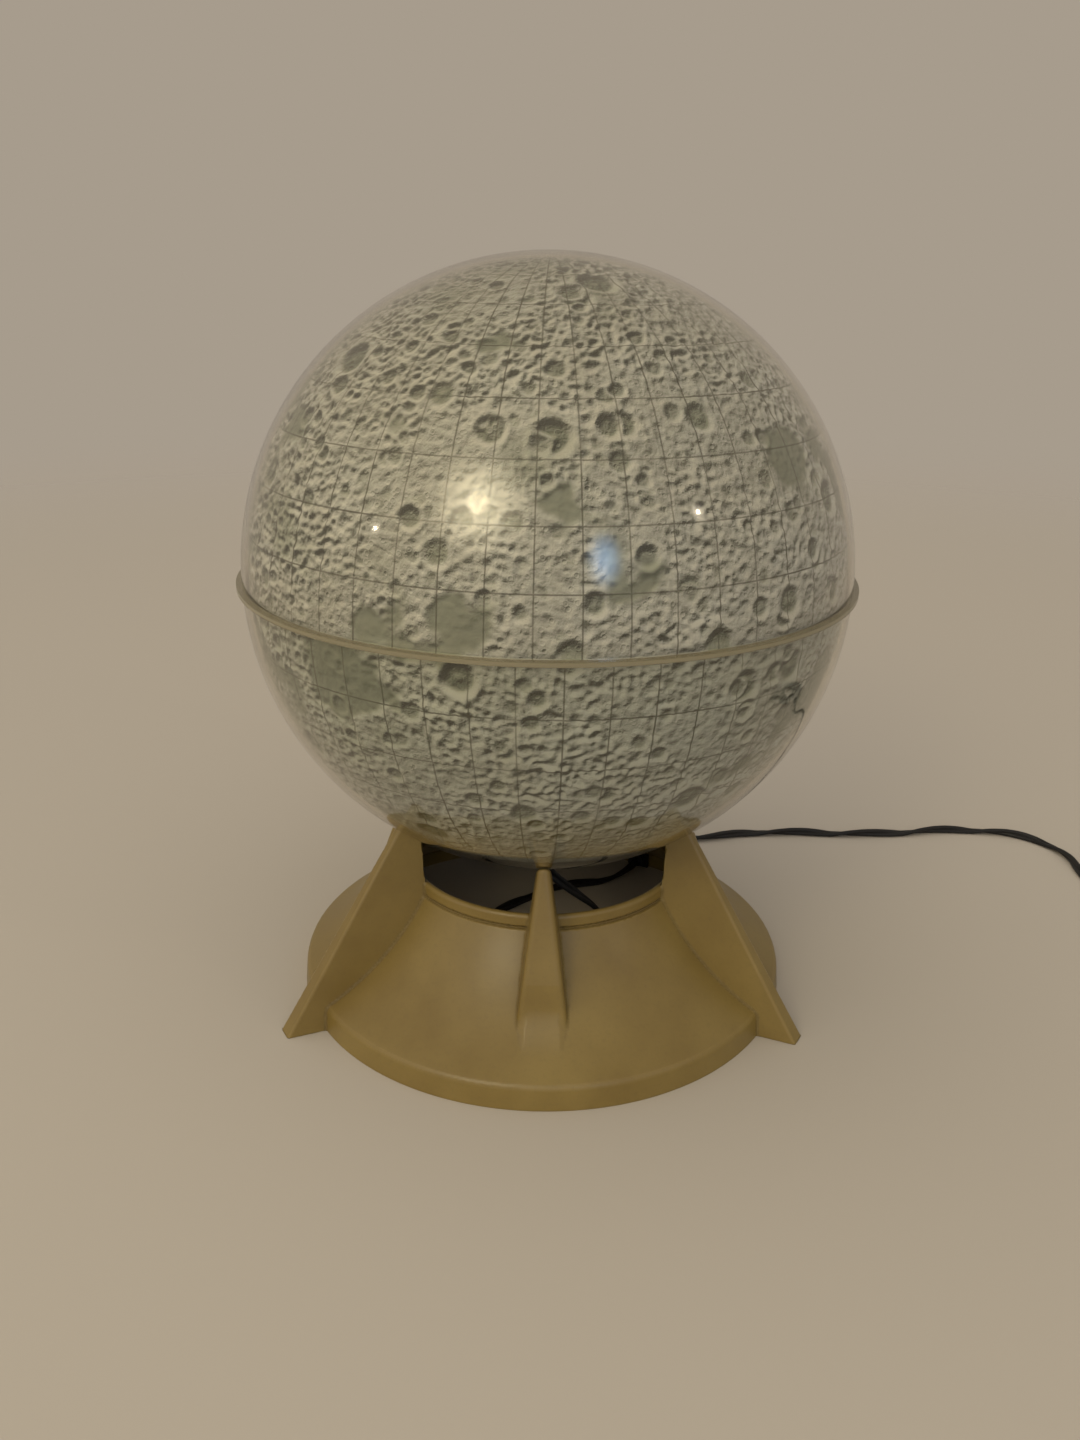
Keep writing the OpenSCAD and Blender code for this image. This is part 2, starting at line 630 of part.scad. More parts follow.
module terminal_screws() color("gold") for (s = [-1, 1]) translate([s * screw_circle_r, 0, 0])
    difference() {
        union() {
            translate([0, 0, cup_top]) cylinder(r = 1.5, h = 2.8);
            translate([0, 0, cup_top - 2]) cylinder(r = 3, h = 2);
        }
        translate([-0.5, -4, cup_top - 2.6]) cube([1, 8, 1.4]);
    }

// ---- bulb ----

ball_z = tip_z + bulb_len - bulb_d / 2;
// Neck and ball as radius and height, drawn in by a wall
function glass(inset) = concat(
    [for (i = [0:12]) let (t = i / 12, s = (1 - cos(180 * t)) / 2)
        [bulb_neck_r + (bulb_d / 2 - bulb_neck_r) * pow(s, 0.85) - inset,
         glass_z + (ball_z - glass_z) * t]],
    [for (a = [9:9:90]) (bulb_d / 2 - inset) * [cos(a), sin(a)] + [0, ball_z]]);

module bulb_glass() color("lightcyan") difference() {
    rotate_extrude() polygon(concat([[0, glass_z]], glass(0)));
    rotate_extrude() polygon(concat([[0, glass_z - 1], [bulb_neck_r - bulb_wall, glass_z - 1]],
        glass(bulb_wall)));
}

module bulb_cap() color("silver") {
    top = cap_z + cap_h;
    wide = bulb_neck_r + fit;
    rotate_extrude() polygon(concat(thread(cap_r, cap_z, cap_h - 4, 180),
        [[wide + 0.4, top - 3], [wide + 0.4, top], [wide, top], [wide, top - 2.8]],
        reversed(thread(cap_r - 0.4, cap_z, cap_h - 4, 180))));
}

module bulb_insulator() color("black") rotate_extrude() polygon([
    [0, tip_z + 1.2], [4.6, tip_z + 1.2], [6, tip_z + 1.6], [cap_r - thread_depth, cap_z - 0.1],
    [cap_r - 1, cap_z], [cap_r - 1, cap_z + 1.5], [0, cap_z + 1.5]]);

module bulb_tip() color("silver") rotate_extrude() polygon([
    [0, tip_z], [2.6, tip_z], [4, tip_z + 0.5], [4.6, tip_z + 1.2], [0, tip_z + 1.2]]);

stem_top = glass_z + 24;

module bulb_stem() color("lightcyan") rotate_extrude() polygon([
    [0, glass_z + 0.2], [bulb_neck_r - bulb_wall - fit, glass_z + 0.2],
    [bulb_neck_r - bulb_wall - fit, glass_z + 1.2], [5, glass_z + 5], [3, glass_z + 12],
    [2.6, stem_top - 1], [1.6, stem_top], [0, stem_top]]);

// A straight round wire from p to q
module wire(p, q, r) {
    v = q - p;
    translate(p) rotate([0, acos(v[2] / norm(v)), atan2(v[1], v[0])])
        cylinder(r = r, h = norm(v), $fn = 16);
}

module bulb_wires() color("gray") for (s = [-1, 1])
    wire([s * 1.2, 0, stem_top + fit], [s * filament_half, 0, stem_top + lead_h], 0.35);

module bulb_filament() color("dimgray")
    translate([0, 0, stem_top + lead_h]) rotate([0, 90, 0]) difference() {
        cylinder(r = 1, h = 2 * filament_half - 2, center = true, $fn = 24);
        cylinder(r = 0.6, h = 2 * filament_half, center = true, $fn = 24);
    }

// ---- globe ----

module clear_dome(side) {
    difference() {
        union() {
            half_ball(globe_r, dome_in, side);
            ring(globe_r + ridge_w, globe_r - dome_wall, side > 0 ? globe_z : globe_z - ridge_h,
                ridge_h);
        }
        // Rebate for the moon shell's lip
        ring(dome_in + lip_w + fit, dome_in - 5,
            side > 0 ? globe_z - 1 : globe_z - lip_h - fit, lip_h + fit + 1);
    }
}

module clear_dome_north() color("lightblue", 0.3) clear_dome(1);

module clear_dome_south() color("lightblue", 0.3) difference() {
    clear_dome(-1);
    south_hole();
}

module moon_shell(side) {
    half_ball(moon_out, moon_in, side);
    ring(dome_in + lip_w, moon_out - 0.4, side > 0 ? globe_z : globe_z - lip_h, lip_h);
}

module moon_shell_north() color("lightgray") moon_shell(1);

module moon_shell_south() color("silver") difference() {
    moon_shell(-1);
    south_hole();
}

module south_collar() color("dimgray") rotate_extrude() polygon([
    [collar_in, collar_bot], [hole_r + collar_low_w, collar_bot],
    [hole_r + collar_low_w, collar_seat], [collar_out, collar_seat], [collar_out, collar_top],
    [collar_out + collar_up_w, collar_top], [collar_out + collar_up_w, collar_top + collar_lip_h],
    [collar_in, collar_top + collar_lip_h]]);

base_shell();
flex_sleeve();
flex_inside();
flex_free();
switch_case_lower();
switch_case_upper();
switch_screw();
switch_contacts();
switch_wheel();
flex_to_coil();
flex_coil();
flex_tail();
plug_body();
plug_blades();
holder_flange();
flex_grommet();
terminal_cup();
holder_rivets();
spring_clips();
socket_body();
screw_shell();
centre_contact();
terminal_screws();
bulb_glass();
bulb_cap();
bulb_insulator();
bulb_tip();
bulb_stem();
bulb_wires();
bulb_filament();
clear_dome_north();
clear_dome_south();
moon_shell_north();
moon_shell_south();
south_collar();
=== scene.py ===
# Moon globe lamp: what shows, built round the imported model.
# Row frame in metres: Z up, -Y towards the viewer, origin on the table under the globe.
import json
import math
from functools import partial

import bpy
import numpy as np
from mathutils import Matrix, Vector, noise


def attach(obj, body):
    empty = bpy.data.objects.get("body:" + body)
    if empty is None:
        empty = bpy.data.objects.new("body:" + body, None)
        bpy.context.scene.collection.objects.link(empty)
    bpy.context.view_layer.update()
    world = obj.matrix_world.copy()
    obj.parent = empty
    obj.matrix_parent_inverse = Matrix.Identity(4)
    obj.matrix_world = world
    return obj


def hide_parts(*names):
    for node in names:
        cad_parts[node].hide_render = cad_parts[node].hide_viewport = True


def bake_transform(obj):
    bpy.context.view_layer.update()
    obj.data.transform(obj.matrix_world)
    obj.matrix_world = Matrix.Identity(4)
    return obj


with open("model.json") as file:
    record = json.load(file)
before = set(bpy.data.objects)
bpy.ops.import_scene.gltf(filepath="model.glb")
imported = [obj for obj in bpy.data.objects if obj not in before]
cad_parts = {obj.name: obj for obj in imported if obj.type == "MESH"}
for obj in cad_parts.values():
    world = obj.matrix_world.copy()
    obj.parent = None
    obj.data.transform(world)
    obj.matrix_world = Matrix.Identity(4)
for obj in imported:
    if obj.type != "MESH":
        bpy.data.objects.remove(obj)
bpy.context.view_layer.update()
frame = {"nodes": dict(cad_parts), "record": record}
nodes = frame["nodes"]
mm = 0.001


def toLinear(hexText):
    parts = [int(hexText[i:i + 2], 16) / 255 for i in (1, 3, 5)]
    return [p / 12.92 if p <= 0.04045 else ((p + 0.055) / 1.055) ** 2.4 for p in parts] + [1.0]


def addNode(tree, kind, inputs=None, stops=None, **settings):
    # An input is a value, or the node or socket it comes from; stops are the colours along a ramp
    node = tree.nodes.new("ShaderNode" + kind)
    for name, value in settings.items():
        setattr(node, name, value)
    for name, value in (inputs or {}).items():
        if isinstance(value, bpy.types.Node):
            value = next(socket for socket in value.outputs if socket.enabled)
        if isinstance(value, bpy.types.NodeSocket):
            tree.links.new(value, node.inputs[name])
        else:
            node.inputs[name].default_value = value
    if stops:
        marks = node.color_ramp.elements
        marks.remove(marks[1])
        marks[0].position, marks[0].color = stops[0]
        for at, colour in stops[1:]:
            marks.new(at).color = colour
    return node


def startNodes(owner):
    # Empties the nodes of a material, world or lamp; the answer is called to add new ones
    owner.use_nodes = True
    owner.node_tree.nodes.clear()
    return partial(addNode, owner.node_tree)


def makeMesh(name, points, faces, material, smooth=True):
    mesh = bpy.data.meshes.new(name)
    mesh.from_pydata([tuple(p) for p in points], [], faces)
    mesh.materials.append(material)
    if smooth:
        mesh.polygons.foreach_set("use_smooth", [True] * len(mesh.polygons))
    piece = bpy.data.objects.new(name, mesh)
    bpy.context.scene.collection.objects.link(piece)
    return piece


def addMarks(piece, marks):
    # Values at each point that the piece's material reads
    for name, values in marks.items():
        layer = piece.data.attributes.new(name, "FLOAT", "POINT")
        layer.data.foreach_set("value", values.astype(np.float32))


# Camera: where the photo was taken from

viewPlan = {
    "place": (-0.0028, -0.5782, 0.3708),
    "right": (0.9999, 0.0045, 0.0116),
    "up": (-0.0124, 0.3603, 0.9328),
    "lens": 28.75,
    "sensor": 36.0,
}
right = Vector(viewPlan["right"]).normalized()
up = Vector(viewPlan["up"])
up = (up - right * up.dot(right)).normalized()
axes = Matrix((right, up, right.cross(up))).transposed().to_4x4()
cameraData = bpy.data.cameras.new("photoCamera")
cameraData.lens = viewPlan["lens"]
cameraData.sensor_width = viewPlan["sensor"]
cameraData.clip_end = 50
camera = bpy.data.objects.new("photoCamera", cameraData)
camera.matrix_world = Matrix.Translation(viewPlan["place"]) @ axes
bpy.context.scene.collection.objects.link(camera)
bpy.context.scene.camera = camera
print("camera placed")

# Flex: black PVC, two cores side by side, twisted

flexPlan = {
    "core": 2.75 * mm,  # diameter of one core
    "web": 1.1 * mm,  # thickness between the cores
    "halfTwist": 0.052,  # length of half a turn, as the photo shows
    "ring": 0.0024,  # spacing of the mesh rings
    "sides": 20,
    "lyingBelow": 0.0035, "lyingFade": 0.0007,  # height under which it lies on the table
    "gap": 0.0001,  # between it and the table
    "upright": 0.35,  # sine of the lean under which a stretch counts as upright
    "tones": ("#08080a", "#131315"),
    "grain": 0.9, "cloud": 16,  # sizes of the surface's patterns, in millimetres
}

# The route's points, in millimetres, as the part's source has them
insidePath = [
    (0, 0, 71.194), (0, 0, 65.694), (1.2, 0, 60.2), (5, 0, 54.2), (11, 0, 48.2), (20, 0, 41),
    (30, -0.5, 33), (39, -3, 23.5), (45.5, -9, 14.5), (48, -18, 8.5), (46.5, -28, 4.8),
    (40.5, -38, 2.8), (30, -45.5, 2.8), (16.5, -49.5, 2.8), (2, -50, 2.8), (-12.5, -47.5, 2.8),
    (-25.5, -41, 2.8), (-36, -31, 2.8), (-42.5, -18, 2.8), (-45, -3.5, 2.8), (-44, 11, 2.8),
    (-40, 25.5, 2.8), (-32.5, 38.5, 2.8), (-22.5, 50.5, 2.8), (-11, 62, 2.8), (2, 72, 2.8),
    (16.5, 79, 2.8), (31.5, 84, 2.8), (44, 89, 2.9), (54, 96.5, 3.6), (60.5, 104.79, 4.7),
    (63.5, 109.99, 4.7),
]
outsidePath = [
    (76, 131.64, 4.7), (78.75, 136.4, 4.7), (84.5, 143, 3.6), (92.5, 147.5, 2.8), (103, 149.5, 2.8),
    (115, 150.5, 2.8), (128, 153.5, 2.8), (141, 157, 2.8), (156, 159.5, 2.8), (171, 160, 2.8),
    (189, 160, 2.8), (206.5, 159.5, 2.8), (225, 159.3, 2.8), (243.5, 160, 2.8), (258, 162, 2.8),
    (272.5, 164.7, 2.8), (287, 166.5, 2.8), (301, 167, 2.8), (318.5, 165.8, 2.8),
    (335.5, 161, 2.8), (349, 152.5, 2.8), (358, 140.5, 2.8), (361.5, 126, 2.8), (361, 111, 2.8),
    (361.5, 97.5, 2.8), (366, 85.5, 3), (375, 76.5, 4.2), (384, 72.4, 5.8), (390.5, 71.5, 6.5),
    (396, 71.5, 6.5), (410, 71.5, 6.5), (425, 71.5, 6.5), (440, 71.5, 6.5), (454, 71.5, 6.5),
    (459.5, 71.5, 6.5), (468, 69, 5), (475, 62.5, 3.4), (479, 53.5, 2.8), (480, 43, 2.8),
    (480, 32, 2.8), (480, 20.5, 2.8),
]
coilPlan = {
    "centre": (440, 15), "outer": 40, "turns": 3, "step": 6, "low": 2.8,
    "each": 15,  # degrees between its points
    "rise": 180,  # degrees over which it climbs to the upper layer, half way
}
tailPath = [
    (480, 9.5, 8.8), (480, 4, 8.8), (480, -3.5, 7.6), (479.5, -15, 4.5), (476, -27, 3),
    (469, -37, 4), (460, -43, 5.8), (455.5, -45, 6.5), (450, -45, 6.5),
]


def coilPath():
    # Inwards in the lower layer and outwards again in the upper one
    p = coilPlan
    whole = p["turns"] * 2 * 360
    points = []
    for a in range(0, whole + 1, p["each"]):
        r = p["outer"] - p["step"] * p["turns"] * (1 - abs(1 - 2 * a / whole))
        t = min(1, max(0, (a - whole / 2 + p["rise"] / 2) / p["rise"]))
        points.append((
            p["centre"][0] + r * math.cos(math.radians(a)),
            p["centre"][1] - r * math.sin(math.radians(a)),
            p["low"] + p["step"] * t * t * (3 - 2 * t),
        ))
    return points


def smoothRoute(points, spacing, parts=12):
    # A curve with so many parts from point to point, then cut into even steps of spacing
    p = np.array(points, float) * mm
    p = np.vstack([2 * p[0] - p[1], p, 2 * p[-1] - p[-2]])
    fine = []
    for i in range(1, len(p) - 2):
        for t in np.linspace(0, 1, parts, endpoint=False):
            fine.append(0.5 * (2 * p[i] + (p[i + 1] - p[i - 1]) * t
                        + (2 * p[i - 1] - 5 * p[i] + 4 * p[i + 1] - p[i + 2]) * t * t
                        + (3 * p[i] - p[i - 1] - 3 * p[i + 1] + p[i + 2]) * t ** 3))
    fine = np.array(fine + [p[-2]])
    run = np.concatenate([[0], np.cumsum(np.linalg.norm(np.diff(fine, axis=0), axis=1))])
    steps = np.linspace(0, run[-1], int(run[-1] / spacing) + 1)
    return np.stack([np.interp(steps, run, fine[:, k]) for k in range(3)], axis=1), run[-1]


def twinFlex(name, points, material, twistFrom):
    p = flexPlan
    centres, length = smoothRoute(points, p["ring"])
    core, sides = p["core"] / 2, p["sides"]
    angles = twistFrom + np.arange(len(centres)) * p["ring"] / p["halfTwist"] * math.pi
    # Where it lies on the table it rides up and down as it twists
    lying = np.clip((p["lyingBelow"] - centres[:, 2]) / p["lyingFade"], 0, 1)
    centres[:, 2] += lying * (core * (1 + np.abs(np.sin(angles))) + p["gap"] - centres[:, 2])
    tangents = np.gradient(centres, axis=0)
    tangents /= np.linalg.norm(tangents, axis=1)[:, None]
    # A level side vector all along, except where the flex runs upright
    level = np.cross(tangents, (0, 0, 1))
    for i in range(len(level)):
        if np.linalg.norm(level[i]) < p["upright"]:
            level[i] = level[i - 1] if i else (0, 1, 0)
    for i in range(1, len(level)):
        if level[i] @ level[i - 1] < 0:
            level[i] = -level[i]
    level -= tangents * np.sum(level * tangents, axis=1)[:, None]
    level /= np.linalg.norm(level, axis=1)[:, None]
    high = np.cross(level, tangents)
    outline = []
    for k in range(sides):
        a = 2 * math.pi * k / sides
        reach = max(2 * core * abs(math.cos(a)), p["web"] / 2 / max(abs(math.sin(a)), 0.2))
        outline.append((reach * math.cos(a), reach * math.sin(a)))
    verts = []
    for c, u, v, a in zip(centres, level, high, angles):
        wide = u * math.cos(a) + v * math.sin(a)
        thin = v * math.cos(a) - u * math.sin(a)
        verts += [c + wide * x + thin * y for x, y in outline]
    faces = []
    for start in range(0, (len(centres) - 1) * sides, sides):
        for k in range(sides):
            a, b = start + k, start + (k + 1) % sides
            faces.append((a, b, b + sides, a + sides))
    faces.append(tuple(reversed(range(sides))))
    faces.append(tuple(range((len(centres) - 1) * sides, len(centres) * sides)))
    return makeMesh(name, verts, faces, material), centres, length


def flexPvc():
    # Flexible PVC, extruded: dense black, satin, with a faint drag along the surface
    p = flexPlan
    material = bpy.data.materials.new("extrudedFlexiblePvc")
    add = startNodes(material)
    place = add("TexCoord").outputs["Object"]
    grain = add("TexNoise", {
        "Vector": place, "Scale": 1 / (p["grain"] * mm), "Detail": 3, "Roughness": 0.6})
    cloud = add("TexNoise", {"Vector": place, "Scale": 1 / (p["cloud"] * mm), "Detail": 2})
    dark, light = (toLinear(tone) for tone in p["tones"])
    tone = add("ValToRGB", {"Fac": cloud}, stops=[(0.35, dark), (0.7, light)])
    gloss = add("MapRange", {"Value": cloud, "To Min": 0.42, "To Max": 0.58})
    bump = add("Bump", {"Height": grain, "Strength": 0.25, "Distance": 0.05 * mm})
    shader = add("BsdfPrincipled", {"Base Color": tone, "Roughness": gloss, "Normal": bump, "IOR": 1.53})
    add("OutputMaterial", {"Surface": shader})
    return material


pvc = flexPvc()
innerFlex, innerRoute, innerLength = twinFlex("flexInsideStand", insidePath, pvc, 0.4)
outerPath = outsidePath + coilPath() + tailPath
outerFlex, outerRoute, outerLength = twinFlex("flexOnTable", outerPath, pvc, 1.1)
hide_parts("flex_inside")
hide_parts("flex_free", "flex_to_coil", "flex_coil", "flex_tail")
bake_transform(innerFlex)
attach(outerFlex, "base")
print("flex laid:", round(innerLength, 3), "m inside,", round(outerLength, 3), "m outside")

# Stand: one khaki moulding, worked out as a distance field so that its edges and creases are soft.
# Its sizes are in millimetres.

standPlan = {
    "hem": 135.0, "hemHeight": 12.0, "rim": 77.0, "rimTop": 72.0, "sag": 5.0, "wall": 3.0,
    # the hem's softened upper corner: how far in from the hem and up from its height
    "hemCorner": [(1, -1.5), (1.5, 0), (2.5, 1.2), (4, 2)],
    "rimBand": 8.0, "rimWall": 4.0,  # height and thickness of the ring on top of the flare
    "step": 0.9,  # how far the ring's foot stands back
    "globeRadius": 152.4, "globeHeight": 230.0, "seat": 0.3,
    "legAt": 90.0,  # direction of one leg; the others are 120 degrees on
    "legReach": 155.0, "legLean": 0.6507, "legHalf": 5.0, "legSpread": 0.134, "legDraft": 0.112,
    "wedgeFoot": 112.0, "wedgeFootHeight": 28.0, "wedgeLean": 0.3429, "wedgeHalf": 12.8,
    "wedgeDraft": 0.132, "wedgeLow": 19,
    "legSlope": 1.015, "wedgeSlope": 1.009,  # brings distances to the sloped sides back to true ones
    "finFrom": 76, "finWall": 2.5,  # legs and wedges start at this radius, and are hollow
    "legEdge": 1.6, "toeEdge": 0.8, "wedgeEdge": 3.2, "seatEdge": 1.6,  # how far edges are softened
    "insideEdge": 0.6,
    "crease": 0.9,  # how far legs and wedges flow into the flare
    "footCrease": 9.0,  # how far the crest of a wedge flows into the flare at its foot
    "footTop": 50, "footFade": 22,  # height at which that starts, and over which it grows
    "footBack": 3.4,  # how far the crest draws back there to leave room for it
    "notchAt": 60.0, "notchFrom": 115, "notchWidth": 9.0, "notchHeight": 9.2,
    "box": ((-138.5, -137.5, -3.2), (138.5, 156.5, 106)),  # what the field is worked out in
    "cell": 1.15,  # size of the field's cells
    "probe": 0.9,  # distance at which edges and creases are felt for
    "edgeBend": 0.7, "creaseBend": 0.45,  # bend that counts as a full edge or crease
    "khaki": ("#735e2d", "#826d37"),
    "cloudSize": 38, "speckSize": 2.2,
    "sparkSize": 0.8,  # coarser than the real 0.3 so that it shows
    # colour, where it starts, where it is full and how much it covers there
    "specks": ("#5f4d2b", 0.5, 0.8, 0.2), "worn": ("#9c8450", 0.3, 1.0, 0.22),
    # painted shade: the creases are darkened with this colour
    "creaseShade": ("#3c3019", 0.1, 1.0, 0.34),
    "lineHeight": 64.75, "lineReach": 77.6,  # painted shade: the dark line in the groove round the ring's foot
}
# Distances to the flare's section, looked up from a table
tablePlan = {"step": 0.25, "radius": (0, 172), "height": (-8, 116)}


def softMax(a, b, k):
    h = np.maximum(k - np.abs(a - b), 0) / k
    return np.maximum(a, b) + h * h * k * 0.25


def arcLine(start, end, sag, count):
    # Points of an arc from start to end that bows inwards by sag from the straight line
    s, e = np.array(start, float), np.array(end, float)
    half = np.linalg.norm(e - s) / 2
    radius = (half * half + sag * sag) / (2 * sag)
    along = (e - s) / (2 * half)
    inward = np.array([along[1], -along[0]])
    inward = inward if inward[0] < 0 else -inward
    centre = (s + e) / 2 - inward * (radius - sag)
    reach = math.asin(half / radius)
    return [tuple(centre + radius * (inward * math.cos(t) + along * math.sin(t)))
            for t in np.linspace(-reach, reach, count)]


def profileDistance(points, r, z):
    # Signed distance to a closed outline in the plane of radius and height
    inside = np.zeros(r.shape, bool)
    best = np.full(r.shape, 1e9)
    for (x0, z0), (x1, z1) in zip(points, points[1:] + points[:1]):
        dx, dz = x1 - x0, z1 - z0
        t = np.clip(((r - x0) * dx + (z - z0) * dz) / (dx * dx + dz * dz + 1e-12), 0, 1)
        best = np.minimum(best, (r - x0 - t * dx) ** 2 + (z - z0 - t * dz) ** 2)
        if z0 != z1:
            cross = ((z0 > z) != (z1 > z)) & (r < dx * (z - z0) / dz + x0)
            inside ^= cross
    return np.where(inside, -1, 1) * np.sqrt(best)


def standOutlines():
    # The flare's section, outside and inside; both close behind the axis
    p = standPlan
    hem, rim, top, wall, behind = p["hem"], p["rim"], p["rimTop"], p["wall"], -30
    low, ring = top - p["rimBand"], p["rimWall"]
    corner = [(hem - inwards, p["hemHeight"] + rise) for inwards, rise in p["hemCorner"]]
    flare = arcLine(corner[-1], (rim + 1, low), p["sag"], 25)
    outer = [(behind, -6), (hem, -6), (hem, 0)] + corner[:-1] + flare
    outer += [(rim - p["step"], low + 0.1), (rim - p["step"], low + 1.1), (rim, low + 1.7)]
    half = ring / 2
    for a in range(0, 181, 15):
        outer.append((rim - half + half * math.cos(math.radians(a)),
                      top - half + half * math.sin(math.radians(a))))
    outer += [(rim - ring, 60), (behind, 60)]
    inner = [(behind, -9), (hem - wall, -9), (hem - wall - 1, p["hemHeight"] - 2.5)]
    for (x0, z0), (x1, z1) in zip(flare, flare[1:]):
        size = math.hypot(x1 - x0, z1 - z0)
        under = (x0 + x1) / 2 - wall * (z1 - z0) / size
        if under > rim - ring:
            inner.append((under, (z0 + z1) / 2 - wall * (x0 - x1) / size))
    inner += [(rim - ring, low), (rim - ring, top + 4), (behind, top + 4)]
    return outer, inner


tableR, tableZ = (np.arange(*tablePlan[key], tablePlan["step"]) for key in ("radius", "height"))
gridR, gridZ = np.meshgrid(tableR, tableZ, indexing="ij")
outerTable, innerTable = (profileDistance(line, gridR, gridZ) for line in standOutlines())


def readTable(table, r, z):
    x = np.clip((r - tableR[0]) / tablePlan["step"], 0, len(tableR) - 1.001)
    y = np.clip((z - tableZ[0]) / tablePlan["step"], 0, len(tableZ) - 1.001)
    i, j = x.astype(np.int32), y.astype(np.int32)
    x, y = x - i, y - j
    return ((table[i, j] * (1 - x) + table[i + 1, j] * x) * (1 - y)
            + (table[i, j + 1] * (1 - x) + table[i + 1, j + 1] * x) * y)


def standField(x, y, z):
    # About the distance to the stand's surface, below 0 inside the plastic
    p = standPlan
    r = np.hypot(x, y)
    turn = np.degrees(np.arctan2(y, x)) - p["legAt"]
    fold = np.abs((turn + 60) % 120 - 60)  # 0 on a leg, 60 on a wedge
    toGlobe = p["globeRadius"] + p["seat"] - np.sqrt(r * r + (z - p["globeHeight"]) ** 2)

    angle = np.radians(fold)
    u, v = r * np.cos(angle), r * np.sin(angle)
    side = (v - p["legHalf"] - p["legSpread"] * (p["legReach"] - u) + p["legDraft"] * z) / p["legSlope"]
    edge = (u - p["legReach"] + p["legLean"] * z) / math.hypot(1, p["legLean"])
    leg = softMax(softMax(side, edge, p["legEdge"]), toGlobe, p["legEdge"])
    leg = np.maximum(softMax(leg, u - p["legReach"], p["toeEdge"]), p["finFrom"] - u)
    hollow = np.maximum.reduce([side, edge, toGlobe, p["finFrom"] - u]) + p["finWall"]

    angle = np.radians(60) - angle
    u, v = r * np.cos(angle), r * np.sin(angle)
    rise = z - p["wedgeFootHeight"]
    side = (v - p["wedgeHalf"] + p["wedgeDraft"] * rise) / p["wedgeSlope"]
    atFoot = np.clip((p["footTop"] - z) / p["footFade"], 0, 1)
    edge = (u - p["wedgeFoot"] + p["wedgeLean"] * rise) / math.hypot(1, p["wedgeLean"])
    edge = edge + p["footBack"] * atFoot
    wedge = softMax(softMax(side, edge, p["wedgeEdge"]), toGlobe, p["seatEdge"])
    wedge = np.maximum.reduce([wedge, p["finFrom"] - u, p["wedgeLow"] - z])
    inside = np.maximum.reduce([side, edge, toGlobe, p["finFrom"] - u]) + p["finWall"]
    hollow = np.minimum(hollow, inside)

    fade = atFoot * np.clip((-side - 0.4) / 4, 0, 1)
    flow = p["crease"] + (p["footCrease"] - p["crease"]) * fade
    solid = -softMax(-readTable(outerTable, r, z), -leg, p["crease"])
    solid = -softMax(-solid, -wedge, flow)
    solid = softMax(solid, -readTable(innerTable, r, z), p["insideEdge"])
    notch = np.radians(turn + p["legAt"] - p["notchAt"])
    u, v = r * np.cos(notch), r * np.sin(notch)
    cut = np.maximum.reduce([np.abs(v) - p["notchWidth"] / 2, z - p["notchHeight"], p["notchFrom"] - u])
    return np.maximum.reduce([solid, -hollow, -cut, -2 - z])


def surfaceOf(field, low, high, cell):
    # The zero surface of a field as quads: one point in each cell that it crosses, joined across edges
    axes = [np.arange(a, b + cell, cell, dtype=np.float32) for a, b in zip(low, high)]
    corners = [(i, j, k) for i in (0, 1) for j in (0, 1) for k in (0, 1)]
    values = np.empty([len(a) for a in axes], np.float32)
    x, y = np.meshgrid(axes[0], axes[1], indexing="ij")
    for k, z in enumerate(axes[2]):
        values[:, :, k] = field(x, y, np.full_like(x, z))
    inside = values < 0
    count = np.zeros([s - 1 for s in inside.shape], np.uint8)
    for i, j, k in corners:
        count += inside[i:i + count.shape[0], j:j + count.shape[1], k:k + count.shape[2]]
    crossed = np.argwhere((count > 0) & (count < 8))
    index = np.full(count.shape, -1, np.int64)
    index[tuple(crossed.T)] = np.arange(len(crossed))
    total, hits = np.zeros((len(crossed), 3)), np.zeros(len(crossed))
    for a in corners:
        for b in corners:
            if sum(b) - sum(a) == 1 and all(q >= p for p, q in zip(a, b)):
                va = values[tuple((crossed + a).T)].astype(float)
                vb = values[tuple((crossed + b).T)].astype(float)
                hit = (va < 0) != (vb < 0)
                t = np.where(hit, va / np.where(hit, va - vb, 1), 0)
                total += hit[:, None] * (np.array(a) + t[:, None] * (np.array(b) - np.array(a)))
                hits += hit
    points = (crossed + total / hits[:, None]) * cell + np.array([a[0] for a in axes])
    quads = []
    for axis in range(3):
        u, v = (axis + 1) % 3, (axis + 2) % 3
        first = np.moveaxis(inside, (axis, u, v), (0, 1, 2))
        cells = np.moveaxis(index, (axis, u, v), (0, 1, 2))
        i, j, k = np.nonzero(first[:-1, 1:-1, 1:-1] != first[1:, 1:-1, 1:-1])
        j, k = j + 1, k + 1
        ring = [cells[i, j - 1, k - 1], cells[i, j, k - 1], cells[i, j, k], cells[i, j - 1, k]]
        ring = np.stack(ring, axis=1)
        flip = ~first[i, j, k]
        ring[flip] = ring[flip][:, ::-1]
        quads.append(ring)
    return points, np.concatenate(quads)


def slopeOf(field, p, h=0.05):
    parts = []
    for k in range(3):
        step = np.zeros(3)
        step[k] = h
        parts.append((field(*(p + step).T) - field(*(p - step).T)) / (2 * h))
    return np.stack(parts, axis=1)


